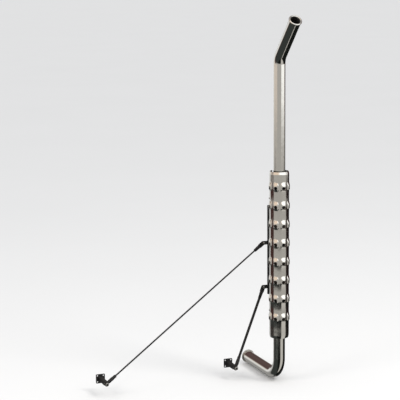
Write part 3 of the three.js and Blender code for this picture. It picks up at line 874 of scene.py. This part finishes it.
def muffler():
    """The case, with a rolled bead at each end and a lengthwise seam, and its two end plates."""
    shell = Box("muffler_shell")
    radius, length = shell.half(X), shell.length(Z)
    base = along(on_axis(shell.low.z), UP)
    sheet = 1.6
    bead = [(12, 0), (16, -1.1), (20, 0)]
    outer = [(radius - 0.5, 0), (radius, 0.6)]
    outer += [(radius + rise, at) for at, rise in bead]
    outer += [(radius, 200), (radius, 700), (radius, length - 200)]
    outer += [(radius + rise, length - at) for at, rise in reversed(bead)]
    outer += [(radius, length - 0.6), (radius - 0.5, length)]
    inner = [(radius - sheet, length), (radius - sheet, 0)]
    stand_for(lathe("muffler_case", outer + inner, base, ROUND), "muffler_shell")
    seam = slab((-1.2, 0, 24), (1.2, 1.1, length - 24), base @ Matrix.Translation((0, radius * MM, 0)))
    soften(seam, 0.5)
    seam.name = "muffler_seam"
    add_to(seam, "mounted_frame", "bare_steel")

    for node, sign in (("muffler_lower_head", -1), ("muffler_upper_head", 1)):
        disc = Box(node)
        place = along(on_axis(disc.high.z if sign > 0 else disc.low.z), UP * sign)
        rim, bore, thick = disc.half(X), 47.5, disc.length(Z)
        outline = [(bore, 0), (bore + 3, 0), (bore + 5, -0.9), (rim - 4, -0.9), (rim - 2, 0), (rim, 0),
                   (rim, -thick), (bore, -thick)]
        plate = lathe(node.replace("head", "end_plate"), rounded(outline, 0.4), place, ROUND)
        stand_for(plate, node)
        weld = weld_ring(node.replace("head", "end_weld"), bore + 0.9, 2.1, place)
        add_to(weld, "mounted_frame", "bare_steel")


def nipples():
    """The slotted sockets that the pipes slide into. Each slot ends in a round hole."""
    slot_depth, slot_width, far = 35, 2.5, 60
    for node, open_end in (("inlet_nipple", -1), ("outlet_nipple", 1)):
        box = Box(node)
        outer, length = box.half(X), box.length(Z)
        inner, slot_end = outer - PIPE_WALL, length - slot_depth
        closed = box.low.z if open_end > 0 else box.high.z
        place = along(on_axis(closed), UP * open_end)
        outline = rounded([(inner, 0), (outer, 0), (outer, length), (inner, length)], 0.45)
        tube = lathe("cutter", outline, place, ROUND)
        cuts = []
        for k in range(2):
            turn = place @ Matrix.Rotation(math.pi / 2 * k, 4, "Z")
            cuts.append(slab((-far, -slot_width / 2, slot_end), (far, slot_width / 2, length + 2), turn))
            hole = turn @ Matrix.Translation((0, 0, slot_end * MM)) @ Matrix.Rotation(math.pi / 2, 4, "Y")
            cuts += [drill(2.4, low, high, hole, 24) for low, high in ((-far, -far / 2), (far / 2, far))]
        made = combine("slotted_" + node, tube, cuts=cuts, bevel=0.25)
        stand_for(made, node)


def muffler_inside():
    """The perforated core and the packing round it, hidden in the muffler."""
    core = Box("perforated_core")
    radius, length = core.half(X), core.length(Z)
    rows, columns, hole, sides = 22, 10, 6.0, 16
    half_up, half_round = length / rows / 2, 180 / columns
    scale = math.degrees(1 / radius)
    sheet = Sheet()
    for row in range(rows):
        for column in range(columns):
            middle, height = half_round * (2 * column + 1), half_up * (2 * row + 1)
            border = cell_border(middle - half_round, middle + half_round, height - half_up, height + half_up,
                                 sides, 0)
            rim = []
            for bx, by in border:
                angle = math.atan2(by - height, (bx - middle) / scale)
                rim.append((middle + hole * math.cos(angle) * scale, height + hole * math.sin(angle)))
            sheet.add_rings([[(hx + (bx - hx) * t, hy + (by - hy) * t)
                              for (hx, hy), (bx, by) in zip(rim, border)] for t in (0, 0.5, 1)])

    def shell(reach):
        turns = [(math.radians(degrees), height) for degrees, height, _ in sheet.points]
        return [on_axis(core.low.z + height * MM) + Vector((math.cos(angle), math.sin(angle), 0)) * reach * MM
                for angle, height in turns]

    points, walls = thick_sheet(shell(radius), shell(radius - 1.5), sheet.faces)
    stand_for(mesh_object("punched_core_tube", points, walls, 40), "perforated_core")

    wool = Box("sound_packing")
    outer, length = wool.half(X), wool.length(Z)
    place = along(on_axis(wool.low.z), UP)
    levels = 60
    outline = [(outer - 0.5, length * k / levels) for k in range(levels + 1)]
    outline += [(radius + 0.9, length), (radius + 0.9, 0)]

    def lumpy(reach, height, angle):
        if reach < outer - 2:
            return reach
        return reach - 0.35 * (1 + math.sin(angle * 9 + height * 0.11) * math.cos(height * 0.07 - angle * 5))

    stand_for(lathe("wool_packing", outline, place, ROUND, lumpy), "sound_packing")


# ---------------------------------------------------------------- bands and brackets

def band_outline(inner, wall, gap, ear_wall, ear_end):
    """Closed outline of a strap round the origin whose ends turn out into two ears on the +Y side."""
    outer, ear_out, fillet, steps = inner + wall, gap / 2 + ear_wall, 3.0, 88
    reach = ear_out + fillet
    centre_y = math.sqrt((outer + fillet) ** 2 - reach ** 2)
    lean = math.atan2(centre_y, reach)
    inner_lean = math.acos(gap / 2 / inner)
    corner = [(-reach + fillet * math.cos(a), centre_y + fillet * math.sin(a))
              for a in (-lean * (1 - k / 6) for k in range(7))]
    hoop = [lean - (math.pi + 2 * lean) * k / steps for k in range(steps + 1)]
    bore = [math.pi - inner_lean + (math.pi + 2 * inner_lean) * k / steps for k in range(steps + 1)]
    points = [(ear_out, ear_end)]
    points += [(-x, y) for x, y in reversed(corner)]
    points += [(outer * math.cos(a), outer * math.sin(a)) for a in hoop[1:-1]]
    points += corner
    points += [(-ear_out, ear_end), (-gap / 2, ear_end)]
    points += [(inner * math.cos(a), inner * math.sin(a)) for a in bore]
    points += [(gap / 2, ear_end)]
    return points


def band(node, name, inner, wall, gap, ear_wall, hole_radius, hole_y, finish=None):
    """A strap round the stack, in a CAD node's place, with a bolt hole through its ears."""
    box = Box(node)
    ear_end = (box.high.y - axis_y) / MM
    half = box.half(Z)
    place = along(on_axis(box.middle.z), UP)
    made = prism("cutter", band_outline(inner, wall, gap, ear_wall, ear_end), -half, half, place)
    hole = place @ Matrix.Translation((0, hole_y * MM, 0)) @ Matrix.Rotation(math.pi / 2, 4, "Y")
    made = combine(name, made, cuts=[drill(hole_radius, -40, 40, hole)], bevel=0.35)
    stand_for(made, node, finish=finish)


def slip_clamps():
    pipe = Box("stack_pipe").half(X)
    for side in ("upper", "lower"):
        hole_y = (Box(side + "_clamp_bolt").middle.y - axis_y) / MM
        band(side + "_clamp_band", side + "_slip_clamp", pipe + 3.2, 2.0, 6.0, 4.0, 4.6, hole_y)
        fastener(side + "_clamp_bolt", side + "_clamp_nut", SIDE, side + "_slip_clamp")


def muffler_straps():
    inner = Box("muffler_shell").half(X) + 0.4
    for side in ("upper", "lower"):
        hole_y = (Box(side + "_strap_bolt").middle.y - axis_y) / MM
        band(side + "_strap", side + "_muffler_strap", inner, 2.0, 5.6, 2.4, 4.5, hole_y, STRAP_STEEL)
        fastener(side + "_strap_bolt", side + "_strap_nut", SIDE, side + "_muffler_strap")
        bracket(side, Box(side + "_bracket"), hole_y)
        isolator(side)


def bracket(side, box, hole_y):
    """A web held in the strap's ears, welded to a flange that bolts to the post through the isolator."""
    centre = on_axis(box.middle.z)
    place = along(centre, UP)
    start, far = (box.low.y - axis_y) / MM, (box.high.y - axis_y) / MM
    near = far - 4.0
    web_half, web_z = 2.5, 25.0
    outline = rounded([(start, -web_z * 0.7), (near - 14, -web_z), (near + 1, -web_z), (near + 1, web_z),
                       (near - 14, web_z), (start, web_z * 0.7)], 5, 5)
    web = prism("cutter", outline, -web_half, web_half, facing_sideways(centre))
    flange = prism("cutter", rectangle(box.half(X), box.half(Z), 6, 6), near, far, facing_forward(centre))
    cuts = [drill(MOUNT_HOLE, -30, 30, facing_sideways(centre + FORWARD * hole_y * MM)),
            drill(MOUNT_HOLE, near - 2, far + 2, facing_forward(centre)),
            slab((-9, near - 13, -8.5), (9, near - 0.02, 8.5), place)]
    made = combine(side + "_hanger_bracket", web, joins=[flange], cuts=cuts, bevel=0.5)
    stand_for(made, side + "_bracket")
    for end, x in (("left", -web_half - 0.6), ("right", web_half + 0.6)):
        for level, low, high in (("bottom", -web_z + 1, -9.5), ("top", 9.5, web_z - 1)):
            route = [(x, near - 0.5, low), (x, near - 0.5, high)]
            bead = weld_line(f"{side}_bracket_weld_{end}_{level}", route, 1.7, place, closed=False)
            add_to(bead, "mounted_frame", "black_paint")


def facing_sideways(origin):
    """Maps a prism's (x, y, z) to (forward, up, sideways) at origin."""
    turn = Matrix(((0, 0, 1, 0), (1, 0, 0, 0), (0, 1, 0, 0), (0, 0, 0, 1)))
    return Matrix.Translation(origin) @ turn


def facing_forward(origin):
    """Maps a prism's (x, y, z) to (sideways, up, forward) at origin."""
    turn = Matrix(((1, 0, 0, 0), (0, 0, 1, 0), (0, 1, 0, 0), (0, 0, 0, 1)))
    return Matrix.Translation(origin) @ turn


def isolator(side):
    """A waisted rubber mount between a bracket and the post, and the bolt through them."""
    box = Box(side + "_isolator")
    radius, length, bore = box.half(X), box.length(Y), 4.6
    place = along(Vector((axis_x, box.low.y, box.middle.z)), FORWARD)
    outline = [(bore, 0), (radius - 3, 0), (radius - 0.3, 2.2), (radius - 3.4, length / 2),
               (radius - 0.3, length - 2.2), (radius - 3, length), (bore, length)]
    stand_for(lathe(side + "_rubber_mount", rounded(outline, 2.2, 5), place, 72), side + "_isolator")
    fastener(side + "_post_bolt", side + "_post_nut", -FORWARD, side + "_post")


def standoffs():
    """Hat-shaped spacers between muffler and shield, and the screws through them."""
    angle = math.radians(67.5)
    for height in ("upper", "lower"):
        for side, sign in (("left", -1), ("right", 1)):
            name = f"{height}_{side}"
            box = Box("shield_standoff_" + name)
            middle = on_axis(box.middle.z)
            outward = Vector((sign * math.sin(angle), math.cos(angle), 0))
            around = UP.cross(outward)
            footing, rise, t, half = 62.3, 9.9, 1.5, box.half(Z)
            hat = [(-17, 0), (-7.5, 0), (-6.5, rise - t), (6.5, rise - t), (7.5, 0), (17, 0), (17, t),
                   (9, t), (8, rise), (-8, rise), (-9, t), (-17, t)]
            place = Matrix.Translation(middle) @ Matrix((
                (around.x, outward.x, 0, 0), (around.y, outward.y, 0, 0), (0, 0, 1, 0), (0, 0, 0, 1)))
            outline = rounded([(x, y + footing) for x, y in hat], 1.0, 3)
            spacer = prism("cutter", outline, -half, half, place)
            hole = along(middle, outward)
            made = combine("shield_spacer_" + name, spacer, cuts=[drill(3.3, 50, 80, hole)], bevel=0.3)
            stand_for(made, "shield_standoff_" + name)
            screw = shield_screw("shield_retaining_screw_" + name, middle, outward)
            stand_for(screw, "shield_screw_" + name)


def shield_screw(name, middle, outward):
    """A flanged hexagon screw: washer face, hexagon and a dished top."""
    seat, tail = 74.2, 64.8
    head = [(6.3, 0), (6.4, 0.5), (5.0, 1.1), (4.75, 1.3), (4.75, 3.2), (4.2, 3.8), (3.2, 3.8), (2.4, 3.2),
            (0, 3.1)]
    profile = [(0, tail), (2.6, tail), (3.0, tail + 0.6), (3.0, seat)]
    profile += [(radius, seat + height) for radius, height in head]

    def shape(reach, height, angle):
        if height > seat + 1.2 and reach > 4:
            return min(reach, hex_reach(4.15, angle))
        return reach

    return turned_solid(name, profile, along(middle, outward), FASTENER_SIDES, shape)


# ---------------------------------------------------------------- post

def support_post():
    """A square tube with bolt holes in its rear wall, wider access holes in front, and a cap at each end."""
    box = Box("support_post")
    half, length = box.half(X), box.length(Z)
    inner = half - POST_WALL
    place = along(Vector((box.middle.x, box.middle.y, box.low.z)), UP)
    tube = prism("cutter", rectangle(half, half, 3, 5), 0, length, place)
    cuts = [prism("cutter", rectangle(inner, inner, 1.5, 3), -2, length + 2, place)]
    for side in ("upper", "lower"):
        across = facing_forward((box.middle.x, box.middle.y, Box(side + "_post_bolt").middle.z))
        cuts += [drill(MOUNT_HOLE, -20, 0, across), drill(ACCESS_HOLE, 0, 20, across)]
    stand_for(combine("square_support_post", tube, cuts=cuts, bevel=0.35), "support_post")

    for node, sign in (("post_cap_top", 1), ("post_cap_bottom", -1)):
        cap = Box(node)
        level = cap.low.z if sign > 0 else cap.high.z
        upright = along(Vector((box.middle.x, box.middle.y, level)), UP * sign)
        depth = cap.length(Z)
        plug = inner - 0.3
        body = prism("cutter", rectangle(plug, plug, 2, 3), 0, depth - 1.2, upright)
        top = prism("cutter", rectangle(half, half, 3, 5), depth - 2.7, depth, upright)
        made = combine(node.replace("post_cap", "rubber_post_cap"), body, joins=[top], bevel=0.9)
        stand_for(made, node)


# ---------------------------------------------------------------- stays

def stay_place(side):
    """The stay's own frame, with +Z along the rod from the pin, and +Y sideways. Its length in mm."""
    pin = Vector(joints[side + "_stay_swing"]["pos_m"])
    eye = Vector(joints[side + "_foot_swivel"]["pos_m"])
    ahead = (eye - pin).normalized()
    basis = Matrix((FORWARD.cross(ahead), FORWARD, ahead)).transposed().to_4x4()
    return Matrix.Translation(pin) @ basis, (eye - pin).length / MM


def upright_disc(radius, half, place, offset=0.0, sides=56):
    """A short rod along the local Y axis, for ears and eyes. It starts as a cutter or a joined part."""
    turn = place @ Matrix.Translation((0, 0, offset * MM)) @ Matrix.Rotation(-math.pi / 2, 4, "X")
    return drill(radius, -half, half, turn, sides)


def stays():
    for side, rod_radius in (("upper", 6.0), ("lower", 10.0)):
        place, length = stay_place(side)
        fork(side, place, rod_radius)
        clevis_pin(side, place)
        bar(side, place, rod_radius, length)
        eye(side, place, rod_radius, length)
        post_lug(side)
        foot(side)


def fork(side, place, rod_radius):
    """The clevis: two ears, a neck that rounds into a socket, and the socket's step."""
    inner, outer, radius, reach = 4.4, 9.9, 13.0, 30.0
    sides = [(0, -radius), (36, -radius), (42, -radius + 1), (42, radius - 1), (36, radius), (0, radius)]
    to_ear = place @ Matrix(((0, 1, 0, 0), (0, 0, 1, 0), (1, 0, 0, 0), (0, 0, 0, 1)))
    cheek = prism("cutter", sides, -outer, outer, to_ear)
    neck = radius - 1.2
    socket = [(0, 38), (10.5, 38), (radius, 42), (radius, 64), (neck, 66), (neck, SOCKET_REACH - 4),
              (radius - 3, SOCKET_REACH), (0, SOCKET_REACH)]
    joins = [upright_disc(radius, outer, place), turned_solid("cutter", socket, place)]
    crosswise = place @ Matrix.Rotation(math.pi / 2, 4, "Z")
    cuts = [slab((-radius - 2, -inner, -radius - 2), (radius + 2, inner, reach - 4), place),
            upright_disc(inner, radius + 2, crosswise, reach - 4.2, 32),
            upright_disc(PIN_HOLE, 20, place), drill(rod_radius + 0.4, 52, 100, place)]
    made = combine(side + "_stay_clevis", cheek, joins=joins, cuts=cuts, bevel=0.8)
    stand_for(made, side + "_stay_fork")


def clevis_pin(side, place):
    """A domed pin with a washer near its far end."""
    turn = place @ Matrix.Rotation(-math.pi / 2, 4, "X")
    profile = [(0, -15.2), (6.4, -15.2), (8.3, -13.8), (8.5, -12.4), (8.2, -10.2), (4.7, -10.2), (4.7, 10.2),
               (7.5, 10.2), (7.5, 11.7), (4.7, 11.9), (4.7, 12.6), (3.9, 13.2), (0, 13.2)]
    stand_for(turned_solid(side + "_clevis_pin", profile, turn), side + "_stay_pin")


def bar(side, place, rod_radius, length):
    """The round rod between fork and eye, with a weld where it leaves each socket."""
    start, end, cut = ROD_REACH, length - ROD_REACH, 0.8
    profile = [(0, start), (rod_radius - cut, start), (rod_radius, start + cut)]
    profile += [(rod_radius, start + (end - start) * k / 12) for k in range(1, 12)]
    profile += [(rod_radius, end - cut), (rod_radius - cut, end), (0, end)]
    stand_for(turned_solid(side + "_stay_bar", profile, place, 40), side + "_stay_rod")
    mouth = SOCKET_REACH + 0.2
    for name, height in (("upper", mouth), ("lower", length - mouth)):
        at_mouth = place @ Matrix.Translation((0, 0, height * MM))
        ring = weld_ring(f"{side}_stay_lock_ring_{name}", rod_radius + 0.4, 1.4, at_mouth, 90)
        add_to(ring, side + "_stay", "black_paint")


def eye(side, place, rod_radius, length):
    """The ring that turns on the foot's stud, with its socket for the rod."""
    boss = upright_disc(17.0, 13.5, place, length)
    outline = [(0, SOCKET_REACH), (10, SOCKET_REACH), (11.8, SOCKET_REACH - 4), (11.8, 66), (13, 64),
               (13, 30), (12, 12), (0, 12)]
    socket = turned_solid("cutter", [(radius, length - reach) for radius, reach in outline], place)
    cuts = [upright_disc(STUD_HOLE, 20, place, length),
            drill(rod_radius + 0.4, length - 100, length - 52, place)]
    made = combine(side + "_stay_eye_end", boss, joins=[socket], cuts=cuts, bevel=0.9)
    stand_for(made, side + "_stay_eye")


def post_lug(side):
    """The plate on the post that the fork's pin goes through, round at its end and welded at its root."""
    box = Box(side + "_lug")
    pin = Vector(joints[side + "_stay_swing"]["pos_m"])
    root = (box.high.x - pin.x) / MM
    radius, half = box.half(Z), box.half(Y)
    arc = circle(radius, 56)[14:43]
    outline = arc + [(root - 8, -radius), (root, -radius), (root, radius), (root - 8, radius)]
    plate = prism("cutter", outline, -half, half, facing_forward(pin))
    hole = drill(PIN_HOLE, -20, 20, facing_forward(pin))
    made = combine(side + "_post_lug", plate, cuts=[hole], bevel=0.8)
    stand_for(made, side + "_lug")
    lift, edge = half + 0.5, radius - 1.5
    route = [(root, -lift, -edge), (root, lift, -edge), (root, lift, edge), (root, -lift, edge)]
    bead = weld_line(side + "_lug_weld", route, 2.0, Matrix.Translation(pin))
    add_to(bead, "mounted_frame", "black_paint")


def foot(side):
    """The arm from the truck's frame: a plate with four holes, a square arm and the stud of the eye."""
    node = side + "_foot"
    box = Box(node)
    pin = Vector(joints[side + "_foot_swivel"]["pos_m"])
    place = facing_forward(pin)
    face = (box.high.y - pin.y) / MM
    tail = (box.low.y - pin.y) / MM
    start, half, plate_half, stud_radius = 14.0, 15.0, box.half(X), 8.0
    behind_plate = face - 8
    arm = prism("cutter", rectangle(half, half, 3, 4), start, face - 4, place)
    plate = prism("cutter", rectangle(plate_half, plate_half, 7, 6), behind_plate, face, place)
    stud = [(0, tail), (6.9, tail)] + threads(stud_radius, tail + 1.2, -16, 1.75)
    stud += [(7.3, -14.5), (stud_radius, -13.8), (stud_radius, start + 1), (0, start + 1)]
    joins = [plate, turned_solid("cutter", stud, place, FASTENER_SIDES)]
    cuts = []
    for x in (-24, 24):
        for z in (-24, 24):
            hole = place @ Matrix.Translation((x * MM, z * MM, 0))
            cuts.append(drill(5.5, face - 12, face + 4, hole))
    made = combine(side + "_stay_foot_arm", arm, joins=joins, cuts=cuts, bevel=0.9)
    stand_for(made, node)
    edge = half + 0.3
    corners = [(-edge, -edge), (edge, -edge), (edge, edge), (-edge, edge)]
    route = [(x, behind_plate, z) for x, z in corners]
    bead = weld_line(side + "_foot_weld", route, 2.4, Matrix.Translation(pin))
    add_to(bead, body_of[node], "black_paint")
    hexagon = Box(node + "_nut")
    near = Vector((pin.x, hexagon.high.y, pin.z))
    flat = 14 * math.cos(math.pi / 6) * 0.99
    lock_nut = nut(side + "_foot_lock_nut", near, -FORWARD, stud_radius, hexagon.length(Y), flat)
    stand_for(lock_nut, node + "_nut")


# ---------------------------------------------------------------- studio

def floor(height):
    half = 300.0
    corners = [(-half, -half, height), (half, -half, height), (half, half, height), (-half, half, height)]
    made = mesh_object("studio_floor", corners, [(0, 1, 2, 3)])
    made.visible_glossy = False
    finish, nodes, surface = material("pale_floor")
    tone = nodes.noise(0.7, 3.0)
    nodes.put(surface["Base Color"], nodes.mix(tone, (0.80, 0.795, 0.785), (0.82, 0.815, 0.805)))
    surface["Roughness"].default_value = 0.9
    surface["Specular IOR Level"].default_value = 0.0
    made.data.materials.append(finish)


def studio_light():
    """Soft light: a flat pale background, an even fill, and the bright and dark cards that chrome mirrors.

    turn and rise are the direction that is mirrored, in degrees: turn from -Y towards +X, rise from level.
    """
    world = bpy.data.worlds.new("studio")
    bpy.context.scene.world = world
    world.use_nodes = True
    nodes = Nodes(world.node_tree)
    direction = nodes.node("ShaderNodeTexCoord").outputs["Generated"]
    parts = nodes.node("ShaderNodeSeparateXYZ", {0: direction}).outputs
    x, y, z = parts[0], parts[1], parts[2]
    back = nodes.math("MULTIPLY", y, -1.0)
    turn = nodes.math("DEGREES", nodes.math("ARCTAN2", x, back))
    rise = nodes.math("DEGREES", nodes.math("ARCSINE", z))

    # a little under level: the pipe mirrors upright strips
    cab = (0.060, 0.028, 0.025)
    strips = nodes.mix(nodes.within(turn, -155, -64, 4), cab, (0.74, 0.66, 0.58))
    strips = nodes.mix(nodes.within(turn, -64, 12, 3), strips, (0.47, 0.455, 0.43))
    strips = nodes.mix(nodes.within(turn, 12, 88, 3), strips, (1.25, 1.25, 1.22))

    # lower: the shield mirrors a grey middle between dark sides
    grey = (0.46, 0.445, 0.415)
    sides = nodes.mix(nodes.smooth(turn, 30, 90), cab, (0.016, 0.011, 0.011))
    wide = nodes.mix(nodes.within(turn, -155, 96, 6), sides, grey)
    narrow = nodes.mix(nodes.within(turn, -92, 62, 4), sides, grey)
    middle = nodes.mix(nodes.smooth(rise, -9.7, -8.9), narrow, wide)

    # lower still: a nearly black deck with one light strip
    deck = nodes.mix(nodes.smooth(turn, -58, -44), (0.042, 0.047, 0.044), (0.010, 0.011, 0.010))
    deck = nodes.mix(nodes.within(turn, 3, 56, 4), deck, (0.62, 0.60, 0.56))

    # above level: a bright sky on one side, which the caps of the bumps mirror
    bright = nodes.mix(nodes.smooth(turn, -42, -8), (0.98, 0.80, 0.64), (1.5, 1.5, 1.46))
    shaded = nodes.mix(nodes.smooth(rise, 25, 60), (0.11, 0.07, 0.065), (0.50, 0.48, 0.46))
    sky = nodes.mix(nodes.within(turn, -100, 60, 8), shaded, bright)

    from_view = nodes.math("ABSOLUTE", nodes.math("ADD", turn, 24.0))
    edge = nodes.math("ADD", rise, nodes.smooth(from_view, 12, 36, 0.0, 1.1))
    mirrored = nodes.mix(nodes.smooth(edge, -15.1, -14.4), deck, middle)
    mirrored = nodes.mix(nodes.smooth(rise, -15.3, -14.9), deck, mirrored)
    mirrored = nodes.mix(nodes.smooth(rise, -8.4, -5.6), mirrored, strips)
    mirrored = nodes.mix(nodes.smooth(rise, 2, 14), mirrored, sky)

    # a plain hall on the far side
    from_front = nodes.math("ABSOLUTE", turn)
    hall = nodes.mix(nodes.smooth(rise, -22, -4), (0.34, 0.335, 0.325), (0.90, 0.90, 0.88))
    hall = nodes.mix(nodes.within(turn, 158, 168, 3), hall, (0.10, 0.10, 0.10))
    behind = nodes.math("MULTIPLY", nodes.smooth(from_front, 146, 152), nodes.within(rise, -60, 3, 4))
    mirrored = nodes.mix(behind, mirrored, hall)

    ray = nodes.node("ShaderNodeLightPath").outputs
    even = nodes.mix(nodes.smooth(rise, -30, 40), (0.60, 0.60, 0.60), (0.95, 0.96, 0.98))
    colour = nodes.mix(ray["Is Glossy Ray"], even, mirrored)
    colour = nodes.mix(ray["Is Camera Ray"], colour, (0.80, 0.80, 0.79))
    background = world.node_tree.nodes["Background"]
    nodes.put(background.inputs["Color"], colour)


def softbox(name, position, target, size, power, colour):
    light = bpy.data.lights.new(name, "AREA")
    light.shape = "DISK"
    light.size = size
    light.energy = power
    light.color = colour
    made = bpy.data.objects.new(name, light)
    made.location = position
    made.rotation_mode = "QUATERNION"
    made.rotation_quaternion = (Vector(target) - Vector(position)).to_track_quat("-Z", "Y")
    made.visible_glossy = False
    bpy.context.scene.collection.objects.link(made)


def camera():
    """The photograph's point of view, from behind and to the left of the stack, with a longer lens."""
    shield = Box("heat_shield")
    eye_point = Vector((axis_x - 4.478, axis_y - 9.722, shield.low.z + 2.978))
    heading, pitch, roll = math.radians(21.54), math.radians(-10.15), math.radians(-0.5)
    level = Vector((math.sin(heading), math.cos(heading), 0))
    ahead = level * math.cos(pitch) + UP * math.sin(pitch)
    lens = bpy.data.cameras.new("camera")
    lens.sensor_width = 36
    lens.lens = 130
    lens.clip_end = 2000
    made = bpy.data.objects.new("camera", lens)
    made.location = eye_point
    made.rotation_mode = "QUATERNION"
    made.rotation_quaternion = ahead.to_track_quat("-Z", "Y") @ Quaternion((0, 0, 1), roll)
    bpy.context.scene.collection.objects.link(made)
    bpy.context.scene.camera = made


bpy.context.scene.view_settings.view_transform = "Standard"
camera()
stack_pipes()
inlet_pipes()
heat_shield()
muffler()
nipples()
muffler_inside()
slip_clamps()
muffler_straps()
standoffs()
support_post()
stays()
floor(cad_bounds[0].z)
studio_light()
softbox("key", (3.5, -5.0, 6.0), (0, -0.2, 0.2), 3.0, 260, (1.0, 0.99, 0.97))
softbox("fill", (-6.0, -2.0, 3.5), (0, -0.2, 0.2), 3.0, 90, (1.0, 0.97, 0.94))
